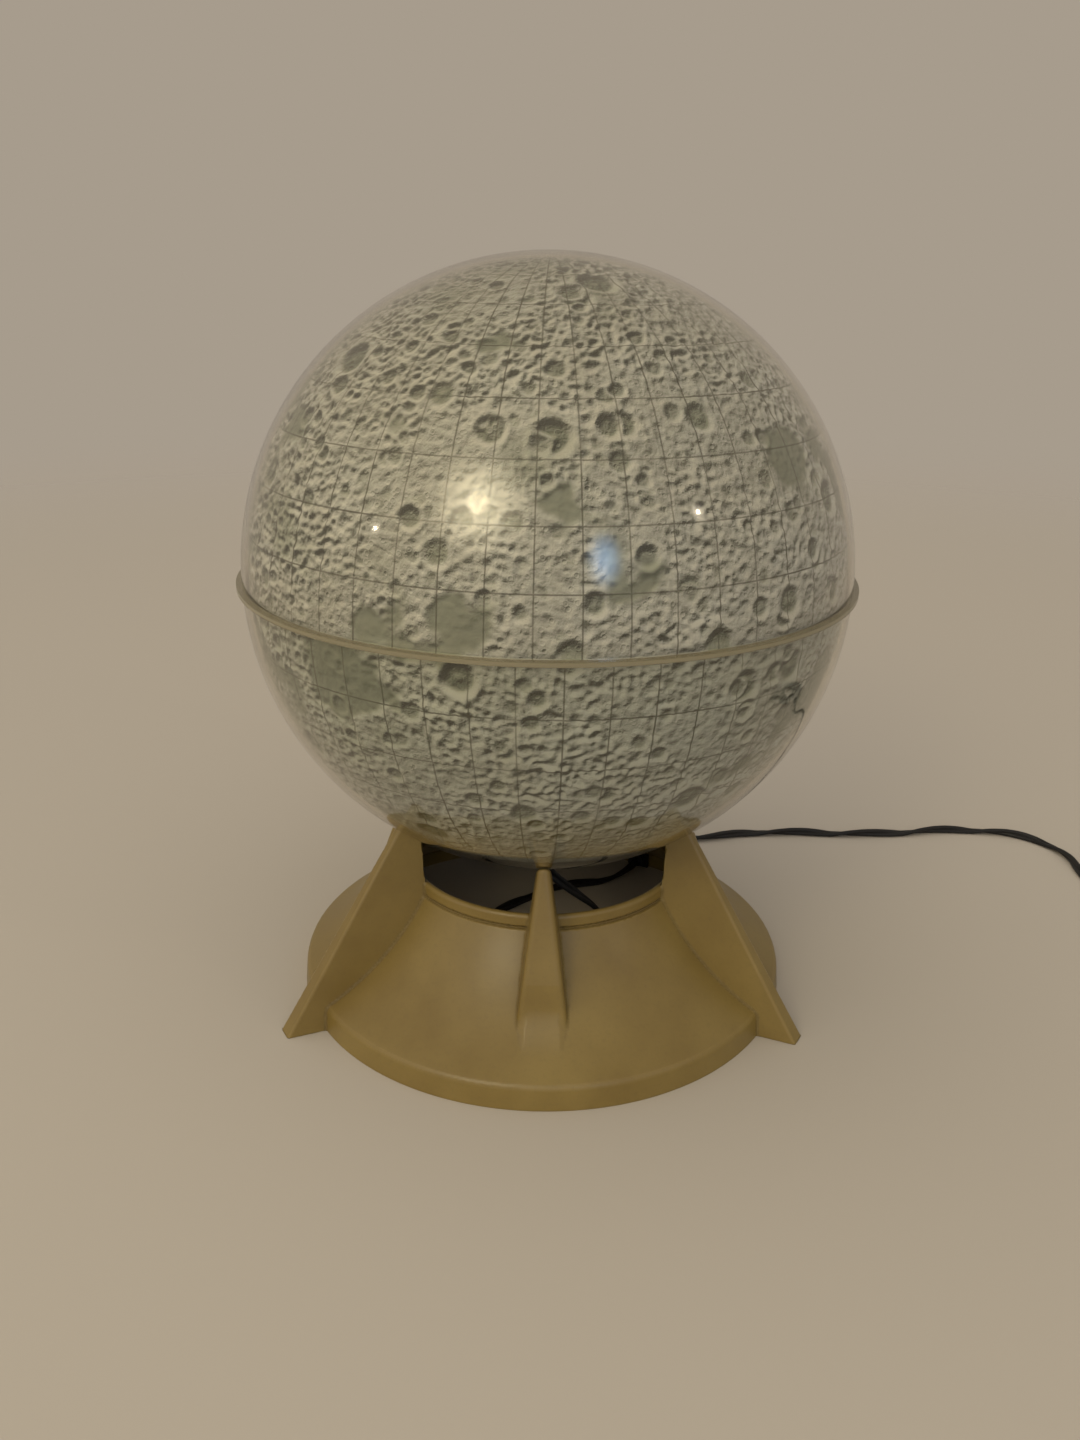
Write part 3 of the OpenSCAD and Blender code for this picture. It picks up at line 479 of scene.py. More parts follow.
def standPlastic():
    # Polystyrene, injection moulded in khaki: satin, a fine spark texture, faint flow clouds and
    # painted shade in the creases and in the groove round the ring's foot
    p = standPlan
    material = bpy.data.materials.new("mouldedKhakiPolystyrene")
    add = startNodes(material)
    place = add("TexCoord").outputs["Object"]
    cloud = add("TexNoise", {
        "Vector": place, "Scale": 1 / (p["cloudSize"] * mm), "Detail": 3, "Roughness": 0.55})
    speck = add("TexNoise", {
        "Vector": place, "Scale": 1 / (p["speckSize"] * mm), "Detail": 2, "Roughness": 0.7})
    spark = add("TexNoise", {"Vector": place, "Scale": 1 / (p["sparkSize"] * mm), "Detail": 2})
    edge = add("Attribute", attribute_name="edge").outputs["Fac"]
    crease = add("Attribute", attribute_name="crease").outputs["Fac"]
    # specks, edge wear, and painted shade in the creases
    amounts = []
    for source, key in ((speck, "specks"), (edge, "worn"), (crease, "creaseShade")):
        start, full, most = p[key][1:]
        part = add("MapRange", {"Value": source, "From Min": start, "From Max": full, "To Max": most})
        amounts.append(part)
    # Painted shade: a dark line in the groove round the ring's foot
    height = add("SeparateXYZ", {0: place}).outputs["Z"]
    fromLine = add("Math", {0: height, 1: p["lineHeight"] * mm}, operation="SUBTRACT")
    lineGap = add("Math", {0: fromLine}, operation="ABSOLUTE")
    groove = add("MapRange", {
        "Value": lineGap, "From Min": 0.1 * mm, "From Max": 0.5 * mm, "To Min": 0.36, "To Max": 0.0})
    flat = add("VectorMath", {0: place, 1: (1, 1, 0)}, operation="MULTIPLY")
    reach = add("VectorMath", {0: flat}, operation="LENGTH")
    atRim = add("Math", {0: reach, 1: p["lineReach"] * mm}, operation="LESS_THAN")
    line = add("Math", {0: groove, 1: atRim}, operation="MULTIPLY")
    # painted shade in the creases and in the groove
    dark = add("Math", {0: amounts[2], 1: line}, operation="MAXIMUM")
    amounts[2] = dark

    low, high = (toLinear(tone) for tone in p["khaki"])
    tone = add("ValToRGB", {"Fac": cloud}, stops=[(0.3, low), (0.72, high)])
    # the last mix paints shade into the creases and the groove
    for amount, key in zip(amounts, ("specks", "worn", "creaseShade")):
        tone = add("Mix", {"A": tone, "B": toLinear(p[key][0]), "Factor": amount}, data_type="RGBA")
    gloss = add("MapRange", {
        "Value": cloud, "From Min": 0.3, "From Max": 0.7, "To Min": 0.34, "To Max": 0.44})
    # Nothing glints in a crease
    dull = add("Math", {0: dark, 1: 1.6, 2: gloss}, operation="MULTIPLY_ADD", use_clamp=True)
    bump = add("Bump", {"Height": spark, "Strength": 0.35, "Distance": 0.05 * mm})
    shader = add("BsdfPrincipled", {"Base Color": tone, "Roughness": dull, "Normal": bump, "IOR": 1.55})
    add("OutputMaterial", {"Surface": shader})
    return material


def makeStand():
    p = standPlan
    points, quads = surfaceOf(standField, *p["box"], p["cell"])
    for turn in range(4):  # draw the points onto the surface
        slope = slopeOf(standField, points)
        size = np.linalg.norm(slope, axis=1)
        step = np.clip(standField(*points.T) / np.maximum(size, 0.3) ** 2, -0.6, 0.6)
        points -= step[:, None] * slope
    slope = slopeOf(standField, points, 0.25)
    normals = slope / np.maximum(np.linalg.norm(slope, axis=1), 1e-6)[:, None]
    bend = -6 * standField(*points.T)  # above 0 on an edge, below 0 in a crease
    for k in range(6):
        step = np.zeros(3)
        step[k // 2] = p["probe"] * (1 - 2 * (k % 2))
        bend += standField(*(points + step).T)
    marks = {"edge": np.clip(bend / p["edgeBend"], 0, 1), "crease": np.clip(-bend / p["creaseBend"], 0, 1)}
    points[:, 2] = np.maximum(points[:, 2], 0)
    stand = makeMesh("standMoulding", points * mm, quads.tolist(), standPlastic())
    addMarks(stand, marks)
    stand.data.normals_split_custom_set_from_vertices([tuple(n) for n in normals])
    return stand


stand = makeStand()
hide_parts("base_shell")
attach(stand, "base")
print("stand moulded:", len(stand.data.polygons), "faces")

# Moon: two thin printed relief shells, in millimetres

moonPlan = {
    "centre": (0, 0, 230.0), "radius": 148.8, "lip": 151.5, "lipDepth": 0.6, "hole": 28.0,
    "cells": 250,  # quads across a quarter turn
    "seed": 20,
    # how many craters in each half, and their radii from and to
    "craters": [(34, 6.5, 11.0), (170, 4.2, 6.5), (900, 2.6, 4.2), (2600, 1.5, 2.6)],
    "depth": 0.25, "depthPower": 0.7,  # of a crater of radius 1, and how it grows with the radius
    # radius from which one has a flat floor, a central peak or a dark floor, and under which it is
    # worn away or nearly drowned in a plain
    "flatFrom": 3.5, "peakFrom": 7, "floorFrom": 3.2, "wornUnder": 4.2, "drownedUnder": 5,
    "highest": 1.1, "deepest": -1.1,
    "seamFade": 3,  # the relief dies away this near the seam
    # noises of the ground: scale on a ball of radius 1, settings of a fractal noise, shift
    "ground": {
        "plains": (2.1, (0.9, 2.0, 4), (3.1, 0.4, 7.7)),
        "waves": (17, (0.8, 2.2, 3), (1, 1, 1)),
        "ridges": (33, None, (9, 2, 5)),
        "grains": (58, None, (4, 8, 1)),
        "lively": (3.4, (0.8, 2.1, 3), (5, 2, 6)),
    },
    "waveHeight": 0.45, "ridgeHeight": 0.62, "grainHeight": 0.24,
    "plainFrom": 0.4, "plainFade": 0.12, "plainDepth": 0.3,
    "warpScale": 22, "warp": 0.9,  # bends the craters, so that none is a true circle
    "sun": (-0.45, 0.9),  # the print is shaded as if lit from the north and a little west
    "contrast": {1: 1.85, -1: 2.35},  # of that shading, north and south
    "middle": 0.57,  # shade of level ground
}
printPlan = {
    "tones": [(0.04, "#3b3c37"), (0.3, "#727572"), (0.5, "#a4a7a7"), (0.72, "#bfc1c2"), (1.0, "#d8dadb")],
    "wash": "#e6e1d8", "plains": "#d0d5c8", "ink": "#3f3d34", "south": "#e6eae6",
    "bumpSize": 2.7, "pitSize": 4.2, "washSize": 45, "patchSize": 70,
    "sampleGap": 0.45,  # how far apart the two samples of the fine shading lie
    # levels across a printed pit, from its middle outwards
    "pit": [(0.0, 0.12), (0.17, 0.2), (0.28, 0.85), (0.36, 0.5), (0.5, 0.45)],
    "pitShare": 0.35, "fineGain": 1.35,  # how strong the pits are beside the bumps, and both together
    "calm": 0.22,  # what is left of them in a plain
    "heightShare": 0.24,  # how much lighter high ground is, a painted shade in the low ground
    "parallels": 10, "meridians": 7.5,  # degrees between the lines of the grid
    "firstMeridian": 0.31,  # in steps
    "southTurn": 2.6,  # degrees that the southern print is turned
    "lineHalf": (0.2, 0.46),  # where a line starts to fade and where it ends
}


def craterList(side):
    dice = np.random.default_rng(moonPlan["seed"] + side)
    rows = []
    for count, small, large in moonPlan["craters"]:
        size = small * (large / small) ** (dice.random(count) ** 1.3)
        z, turn = dice.random(count), dice.random(count) * 2 * math.pi
        flat = np.sqrt(1 - z * z)
        way = np.stack([flat * np.cos(turn), flat * np.sin(turn), side * z], axis=1)
        fresh = 0.5 + 0.6 * dice.random(count)
        age = dice.random(count) + (0.55 if small > 4 else 0)  # the large ones lie mostly on top
        rows += [(a, w, r, moonPlan["depth"] * f * r ** moonPlan["depthPower"])
                 for a, w, r, f in zip(age, way, size, fresh)]
    return [row[1:] for row in sorted(rows, key=lambda row: row[0])]


def groundNoise(way, name):
    scale, fractal, shift = moonPlan["ground"][name]
    places = [Vector(w) * scale + Vector(shift) for w in way]
    return np.array([noise.fractal(v, *fractal) if fractal else noise.noise(v) for v in places])


def craterShape(d, size):
    # Height across a crater of depth 1, where d is 1 at the rim
    floor, rim, peak = -0.8, 0.45, 0.5
    if size > moonPlan["flatFrom"]:
        step = np.clip((d - 0.5) / 0.48, 0, 1)
        bowl = floor + (rim - floor) * step * step * (3 - 2 * step)
    else:
        bowl = floor + (rim - floor) * np.clip(d, 0, 1) ** 2.4
    bowl = np.where(d < 0.98, bowl, rim * np.exp(-np.clip((d - 0.98) / 0.26, 0, 9) ** 1.3))
    if size > moonPlan["peakFrom"]:
        bowl = bowl + peak * np.exp(-(d / 0.14) ** 2)
    return bowl


def reliefAt(way, side):
    # Height in mm, flat dark plains (1 inside one), and crater floors
    p = moonPlan
    plain = np.clip((groundNoise(way, "plains") - p["plainFrom"]) / p["plainFade"], 0, 1)
    ridges = 0.5 - np.abs(groundNoise(way, "ridges")) * 1.9
    lively = np.clip(0.82 + groundNoise(way, "lively"), 0.35, 1.3)
    height = p["waveHeight"] * groundNoise(way, "waves") + p["ridgeHeight"] * ridges
    height = height + p["grainHeight"] * groundNoise(way, "grains")
    height = (1 - 0.82 * plain) * lively * height - p["plainDepth"] * plain
    warp = np.array([noise.noise_vector(Vector(w) * p["warpScale"]) for w in way]) * p["warp"] / p["radius"]
    bent = way + warp
    bent /= np.linalg.norm(bent, axis=1)[:, None]
    order = np.argsort(bent[:, 2])
    bent, height, plain, lively = bent[order], height[order], plain[order], lively[order]
    floor = np.zeros(len(way))
    for centre, size, depth in craterList(side):
        reach = 1.75 * size / p["radius"]
        start, end = np.searchsorted(bent[:, 2], (centre[2] - reach, centre[2] + reach))
        dots = bent[start:end] @ centre
        near = np.nonzero(dots > math.cos(reach))[0]
        if len(near) == 0:
            continue
        d = np.arccos(np.clip(dots[near], -1, 1)) * p["radius"] / size
        near += start
        keep = 1 - (0.7 if size < p["drownedUnder"] else 0.3) * plain[near]
        if size < p["wornUnder"]:  # where the ground is calm
            keep = keep * (0.25 + 0.7 * lively[near])
        wipe = np.clip((1.12 - d) / 0.2, 0, 1) * keep  # a crater wipes out what was there before
        height[near] = height[near] * (1 - 0.85 * wipe) + keep * depth * craterShape(d, size)
        floor[near] *= 1 - wipe
        if size > p["floorFrom"]:
            own = np.clip((0.72 - d) / 0.2, 0, 1) * min(1, size / 8)
            floor[near] = np.maximum(floor[near], own)
    top, deep = p["highest"], p["deepest"]
    height = np.where(height > 0, top * np.tanh(height / top), deep * np.tanh(height / deep))
    result = np.empty((3, len(way)))
    result[:, order] = (height, plain, floor)
    return result


def halfGrid(side):
    # The upper half of a cube blown up to a ball: one top square and rings below it, all cells about alike
    n = moonPlan["cells"]
    line = np.tan(np.linspace(-1, 1, n + 1) * math.pi / 4)
    a, b = np.meshgrid(line, line, indexing="ij")
    top = np.stack([a, b, np.ones_like(a)], axis=-1).reshape(-1, 3)
    border = [n * (n + 1) + j for j in range(n)] + [i * (n + 1) + n for i in range(n, 0, -1)]
    border += [j for j in range(n, 0, -1)] + [i * (n + 1) for i in range(n)]
    border = np.array(border)
    rows, rings = [top], [border]
    for k in range(1, n // 2 + 1):
        ring = top[border].copy()
        ring[:, 2] = math.tan((1 - 2 * k / n) * math.pi / 4)
        rings.append(len(top) + (k - 1) * len(border) + np.arange(len(border)))
        rows.append(ring)
    way = np.concatenate(rows)
    way /= np.linalg.norm(way, axis=1)[:, None]
    i, j = (g.ravel() for g in np.meshgrid(np.arange(n), np.arange(n), indexing="ij"))
    corner = i * (n + 1) + j
    faces = [np.stack([corner, corner + n + 1, corner + n + 2, corner + 1], axis=1)]
    for high, low in zip(rings, rings[1:]):
        faces.append(np.stack([high, low, np.roll(low, -1), np.roll(high, -1)], axis=1))
    faces = np.concatenate(faces)
    if side < 0:
        way[:, 2] *= -1
        faces = faces[:, ::-1]
    return way, faces, rings[-1]


def moonPrint():
    # Polystyrene sheet, printed and then formed over a mould: matt, grey-buff with printed hill
    # shading and a line grid
    p = printPlan
    material = bpy.data.materials.new("printedReliefSheet")
    add = startNodes(material)
    place = add("TexCoord").outputs["Object"]
    centre = [c * mm for c in moonPlan["centre"]]
    fromCentre = add("VectorMath", {0: place, 1: centre}, operation="SUBTRACT")
    way = add("VectorMath", {0: fromCentre}, operation="NORMALIZE")
    east = add("VectorMath", {0: (0, 0, 1), 1: way}, operation="CROSS_PRODUCT")
    east = add("VectorMath", {0: east}, operation="NORMALIZE")
    north = add("VectorMath", {0: way, 1: east}, operation="CROSS_PRODUCT")

    # Fine shading: how much a printed height falls from here to a point towards the sun
    steps = []
    for side, share in zip((east, north), moonPlan["sun"]):
        length = share * (p["sampleGap"] * mm)
        steps.append(add("VectorMath", {0: side, "Scale": length}, operation="SCALE"))
    shift = add("VectorMath", {0: steps[0], 1: steps[1]}, operation="ADD")
    moved = add("VectorMath", {0: place, 1: shift}, operation="ADD")
    heights = []
    for spot in (place, moved):
        bumps = add("TexNoise", {
            "Vector": spot, "Scale": 1 / (p["bumpSize"] * mm), "Detail": 2.0, "Roughness": 0.55,
            "Distortion": 0.4})
        cell = add("TexVoronoi", {"Vector": spot, "Scale": 1 / (p["pitSize"] * mm)})
        pit = add("ValToRGB", {"Fac": cell}, stops=[(at, (v, v, v, 1)) for at, v in p["pit"]])
        part = add("Math", {0: pit, 1: p["pitShare"]}, operation="MULTIPLY")
        heights.append(add("Math", {0: bumps, 1: part}, operation="ADD"))
    fineSlope = add("Math", {0: heights[0], 1: heights[1]}, operation="SUBTRACT")

    plain, shade, level, floor = (
        add("Attribute", attribute_name=name).outputs["Fac"]
        for name in ("plain", "shade", "level", "floor"))
    calm = add("MapRange", {"Value": plain, "To Min": 1.0, "To Max": p["calm"]})
    fineGain = add("Math", {0: calm, 1: p["fineGain"]}, operation="MULTIPLY")
    fine = add("Math", {0: fineSlope, 1: fineGain}, operation="MULTIPLY")
    lit = add("Math", {0: shade, 1: fine}, operation="ADD")
    # painted shade: low ground darker, high ground lighter
    lit = add("Math", {0: level, 1: p["heightShare"], 2: lit}, operation="MULTIPLY_ADD")
    tones = add("ValToRGB", {"Fac": lit}, stops=[(at, toLinear(tone)) for at, tone in p["tones"]])

    # Washes of colour over the shading
    wash = add("TexNoise", {
        "Vector": place, "Scale": 1 / (p["washSize"] * mm), "Detail": 3, "Roughness": 0.6})
    washed = add("MapRange", {"Value": wash, "From Min": 0.35, "From Max": 0.7, "To Max": 0.5})
    patch = add("TexNoise", {
        "Vector": place, "Scale": 1 / (p["patchSize"] * mm), "Detail": 4, "Roughness": 0.6})
    patches = add("MapRange", {"Value": patch, "From Min": 0.56, "From Max": 0.68, "To Max": 0.8})
    plains = add("Math", {0: plain, 1: floor}, operation="MAXIMUM")
    plains = add("Math", {0: plains, 1: patches}, operation="MAXIMUM")
    for amount, key in ((washed, "wash"), (plains, "plains")):
        tones = add("Mix", {"A": tones, "B": toLinear(p[key]), "Factor": amount},
                    data_type="RGBA", blend_type="MULTIPLY")

    # Line grid of parallels and meridians; the gaps to the nearest lines end up in millimetres
    parts = add("SeparateXYZ", {0: way})
    latSteps, lonSteps = (180 / p[key] for key in ("parallels", "meridians"))
    lat = add("Math", {0: parts.outputs["Z"]}, operation="ARCSINE")
    lon = add("Math", {0: parts.outputs["Y"], 1: parts.outputs["X"]}, operation="ARCTAN2")
    south = add("Math", {0: parts.outputs["Z"], 1: 0.0}, operation="LESS_THAN")  # 1 there, 0 in the north
    lon = add("Math", {0: south, 1: math.radians(p["southTurn"]), 2: lon}, operation="MULTIPLY_ADD")
    latGap = add("Math", {0: lat, 1: latSteps / math.pi}, operation="MULTIPLY")
    lonGap = add("Math", {0: lon, 1: lonSteps / math.pi, 2: p["firstMeridian"]}, operation="MULTIPLY_ADD")
    gaps = []
    for gap, steps in ((latGap, latSteps), (lonGap, lonSteps)):
        gap = add("Math", {0: gap, 1: 0.5}, operation="PINGPONG")
        size = moonPlan["radius"] * math.pi / steps
        gaps.append(add("Math", {0: gap, 1: size}, operation="MULTIPLY"))
    ringSize = add("Math", {0: lat}, operation="COSINE")
    lonTrue = add("Math", {0: gaps[1], 1: ringSize}, operation="MULTIPLY")
    nearest = add("Math", {0: gaps[0], 1: lonTrue}, operation="MINIMUM")
    start, end = p["lineHalf"]
    line = add("MapRange", {
        "Value": nearest, "From Min": start, "From Max": end, "To Min": 1.0, "To Max": 0.0})
    faint = add("MapRange", {
        "Value": wash, "From Min": 0.35, "From Max": 0.65, "To Min": 0.9, "To Max": 0.4})
    ink = add("Math", {0: line, 1: faint}, operation="MULTIPLY")
    lined = add("Mix", {"A": tones, "B": toLinear(p["ink"]), "Factor": ink}, data_type="RGBA")
    halves = add("Mix", {"A": (1, 1, 1, 1), "B": toLinear(p["south"]), "Factor": south}, data_type="RGBA")
    printed = add("Mix", {"A": lined, "B": halves, "Factor": 1.0}, data_type="RGBA", blend_type="MULTIPLY")

    fineHeight = add("Math", {0: heights[0], 1: calm}, operation="MULTIPLY")
    bump = add("Bump", {"Height": fineHeight, "Strength": 1.0, "Distance": 0.4 * mm})
    shader = add("BsdfPrincipled", {"Base Color": printed, "Roughness": 0.58, "Normal": bump, "IOR": 1.5})
    add("OutputMaterial", {"Surface": shader})
    return material


def makeMoonHalf(name, side, material):
    p = moonPlan
    way, faces, border = halfGrid(side)
    height, plain, floor = reliefAt(way, side)
    height *= np.clip(np.abs(way[:, 2]) * p["radius"] / p["seamFade"], 0, 1)
    centre = np.array(p["centre"])
    points = centre + way * (p["radius"] + height)[:, None]
    if side < 0:  # open round the south pole
        out = np.hypot(points[:, 0], points[:, 1])
        gone = (out < p["hole"] - 0.4)[faces].any(axis=1)
        edge = np.intersect1d(faces[gone], faces[~gone])
        points[edge, :2] *= (p["hole"] / out[edge])[:, None]
        faces = faces[~gone]
    # The lip that the clear domes clamp
    ring = way[border] * (1, 1, 0)
    ring /= np.linalg.norm(ring, axis=1)[:, None]
    flat, count = len(points), len(border)
    lipTop = centre + ring * p["lip"]
    points = np.vstack([points, lipTop, lipTop + (0, 0, side * p["lipDepth"])])
    outer = flat + np.arange(count)
    lip = np.concatenate([
        np.stack([border, outer, np.roll(outer, -1), np.roll(border, -1)], axis=1),
        np.stack([outer, outer + count, np.roll(outer, -1) + count, np.roll(outer, -1)], axis=1),
    ])
    faces = np.concatenate([faces, lip if side > 0 else lip[:, ::-1]])
    used, faces = np.unique(faces, return_inverse=True)
    points = points[used]
    half = makeMesh(name, points * mm, faces.reshape(-1, 4).tolist(), material)
    # Printed shading: how far the ground leans towards the sun
    normal = np.empty(len(points) * 3, np.float32)
    half.data.vertices.foreach_get("normal", normal)
    normal = normal.reshape(-1, 3)
    out = points - centre
    out /= np.linalg.norm(out, axis=1)[:, None]
    east = np.cross((0, 0, 1), out)
    east /= np.maximum(np.linalg.norm(east, axis=1), 1e-6)[:, None]
    towards = p["sun"][0] * east + p["sun"][1] * np.cross(out, east)
    marks = {"shade": p["middle"] + p["contrast"][side] * np.sum(normal * towards, axis=1)}
    for key, values in (("level", height), ("plain", plain), ("floor", floor)):
        marks[key] = np.concatenate([values, np.zeros(2 * count)])[used]
    addMarks(half, marks)
    return half


noise.seed_set(moonPlan["seed"])  # vector noise shifts with the clock otherwise
sheet = moonPrint()
moonHalves = [("moonReliefNorth", 1, "moon_shell_north"), ("moonReliefSouth", -1, "moon_shell_south")]
for name, side, node in moonHalves:
    half = makeMoonHalf(name, side, sheet)
    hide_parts(node)
    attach(half, "globe")
    print(name, len(half.data.polygons), "faces")

# Clear domes, holder, lamp, switch and plug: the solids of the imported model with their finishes

domePlan = {
    "tint": "#f5f2e8", "shadowTint": "#f6f4ee",
    "haze": 26, "wave": 55,  # sizes of the haze and of the sheet's waves, in millimetres
    "rough": (0.012, 0.06),
    "bond": "#8f866b", "bondHalf": (0.7, 1.3), "bondAmount": 0.62,  # the cloudy ridge at the joint
}
hardFinishes = {
    # two tones, sizes of their clouds and of the grain, roughness from and to, and what the shader is
    # given; a metal keeps its IOR
    "collar_plastic": {
        "name": "mouldedBlackPolypropylene", "dark": "#17171a", "light": "#232327",
        "cloud": 14, "grain": 0.9, "rough": (0.42, 0.58), "bump": 0.3, "shader": {"IOR": 1.5}},
    "fitting_plastic": {
        "name": "mouldedBlackPhenolic", "dark": "#101012", "light": "#1c1b1c",
        "cloud": 9, "grain": 0.7, "rough": (0.22, 0.36), "shader": {"IOR": 1.56}},
    "wheel_plastic": {
        "name": "mouldedIvoryNylon", "dark": "#cfc3a2", "light": "#ddd3b8",
        "cloud": 5, "grain": 0.6, "rough": (0.36, 0.5), "shader": {"IOR": 1.53}},
    "steel_plate": {
        "name": "zincPlatedSteel", "dark": "#8f9294", "light": "#b9bbba",
        "cloud": 6, "grain": 0.8, "rough": (0.28, 0.48), "shader": {"Metallic": 1.0}},
    "spring_steel": {
        "name": "rolledSpringSteel", "dark": "#87898c", "light": "#a5a7a8",
        "cloud": 8, "grain": 0.5, "rough": (0.2, 0.34), "stretch": (1, 1, 0.15),
        "shader": {"Metallic": 1.0}},
    "nickel": {
        "name": "nickelPlatedBrass", "dark": "#aba598", "light": "#c9c4b8",
        "cloud": 7, "grain": 0.6, "rough": (0.14, 0.26), "shader": {"Metallic": 1.0}},
    "brass": {
        "name": "stampedBrass", "dark": "#a8853f", "light": "#cda85a",
        "cloud": 6, "grain": 0.6, "rough": (0.2, 0.36), "shader": {"Metallic": 1.0}},
    "socket_porcelain": {
        "name": "glazedPorcelain", "dark": "#ddd8ca", "light": "#ebe7dc",
        "cloud": 10, "grain": 1.6, "rough": (0.08, 0.18), "shader": {"IOR": 1.52}},
    "bulb_glass": {
        "name": "blownClearGlass", "dark": "#f4f7f6", "light": "#fbfcfb",
        "cloud": 30, "grain": 8, "rough": (0.0, 0.02), "bump": 0.05,
        "shader": {"IOR": 1.5, "Transmission Weight": 1.0}},
    "black_glass": {
        "name": "pressedBlackGlass", "dark": "#08080a", "light": "#101013",
        "cloud": 6, "grain": 1.2, "rough": (0.06, 0.14), "shader": {"IOR": 1.52}},
    "solder": {
        "name": "cooledSolder", "dark": "#8a8a88", "light": "#a9a9a6",
        "cloud": 2, "grain": 0.5, "rough": (0.35, 0.55), "bump": 0.4, "shader": {"Metallic": 1.0}},
    "tungsten": {
        "name": "drawnTungsten", "dark": "#4a4a4e", "light": "#66666a",
        "cloud": 2, "grain": 0.4, "rough": (0.4, 0.55), "shader": {"Metallic": 1.0}},
}


def clearPlastic():
    # Acrylic sheet, vacuum formed and polished: clear, glossy, with the faint haze of handling
    p = domePlan
    material = bpy.data.materials.new("formedClearAcrylic")
    add = startNodes(material)
    place = add("TexCoord").outputs["Object"]
    haze = add("TexNoise", {
        "Vector": place, "Scale": 1 / (p["haze"] * mm), "Detail": 4, "Roughness": 0.65})
    smooth, rough = p["rough"]
    gloss = add("MapRange", {
        "Value": haze, "From Min": 0.35, "From Max": 0.75, "To Min": smooth, "To Max": rough})
    wave = add("TexNoise", {"Vector": place, "Scale": 1 / (p["wave"] * mm), "Detail": 1})
    bump = add("Bump", {"Height": wave, "Strength": 0.12, "Distance": 0.4 * mm})
    shader = add("BsdfPrincipled", {
        "Base Color": toLinear(p["tint"]), "Roughness": gloss, "Normal": bump,
        "Transmission Weight": 1.0, "IOR": 1.49,
        "Coat Weight": 0.12, "Coat Roughness": 0.3, "Coat IOR": 1.49})
    # The joint between the domes is bonded: a cloudy cream ridge
    height = add("SeparateXYZ", {0: place}).outputs["Z"]
    off = add("Math", {0: height, 1: moonPlan["centre"][2] * mm}, operation="SUBTRACT")
    gap = add("Math", {0: off}, operation="ABSOLUTE")
    start, end = (half * mm for half in p["bondHalf"])
    atJoint = add("MapRange", {
        "Value": gap, "From Min": start, "From Max": end, "To Min": p["bondAmount"], "To Max": 0.0})
    bond = add("BsdfPrincipled", {"Base Color": toLinear(p["bond"]), "Roughness": 0.3, "IOR": 1.49})
    dome = add("MixShader", {0: atJoint, 1: shader, 2: bond})
    # Light passes straight through to the moon
    clear = add("BsdfTransparent", {"Color": toLinear(p["shadowTint"])})
    rays = add("LightPath")
    mix = add("MixShader", {0: rays.outputs["Is Shadow Ray"], 1: dome, 2: clear})
    add("OutputMaterial", {"Surface": mix})
    return material


def hardFinish(plan):
    # A metal, plastic, glass or ceramic: two tones in clouds, a grain in the gloss and the surface
    material = bpy.data.materials.new(plan["name"])
    add = startNodes(material)
    place = add("TexCoord").outputs["Object"]
    stretched = add("Mapping", {"Vector": place, "Scale": plan.get("stretch", (1, 1, 1))})
    cloud = add("TexNoise", {"Vector": place, "Scale": 1 / (plan["cloud"] * mm), "Detail": 3})
    grain = add("TexNoise", {
        "Vector": stretched, "Scale": 1 / (plan["grain"] * mm), "Detail": 3, "Roughness": 0.6})
    dark, light = toLinear(plan["dark"]), toLinear(plan["light"])
    tone = add("ValToRGB", {"Fac": cloud}, stops=[(0.3, dark), (0.72, light)])
    smooth, rough = plan["rough"]
    gloss = add("MapRange", {
        "Value": grain, "From Min": 0.3, "From Max": 0.7, "To Min": smooth, "To Max": rough})
    bump = add("Bump", {"Height": grain, "Strength": plan.get("bump", 0.15), "Distance": 0.04 * mm})
    shader = add("BsdfPrincipled", {
        "Base Color": tone, "Roughness": gloss, "Normal": bump, **plan["shader"]})
    add("OutputMaterial", {"Surface": shader})
    return material


finishes = {"clear_plastic": clearPlastic(), "flex_pvc": pvc}
for slot, plan in hardFinishes.items():
    finishes[slot] = hardFinish(plan)
slotOf = {row["node"]: row["material_slot"] for row in frame["record"]["subparts"]}
for name, node in nodes.items():
    if slotOf[name] in finishes:
        for i in range(len(node.data.materials)):
            node.data.materials[i] = finishes[slotOf[name]]
print("finishes set")

# Plug: one flexible moulding with finger grooves and a stepped strain relief, in millimetres

plugPlan = {
    "end": (450.0, -45.0, 6.5),  # where the flex goes in
    # distance from there, half width, half height
    "outline": [(0, 4.0, 4.0), (5, 5.0, 4.4), (6.5, 6.2, 4.8), (9.5, 9.6, 5.8), (12, 11.4, 6.2),
                (17.5, 10.9, 6.0), (23, 11.7, 6.25), (30, 11.9, 6.3)],
    "grooves": [2.2, 4.4, 15.0, 17.5, 20.0], "grooveDepth": 0.45, "grooveWidth": 0.5,
    "rounding": (0.6, 1.1),  # at the flex and round the face
    "sides": 56, "ring": 0.25,
}


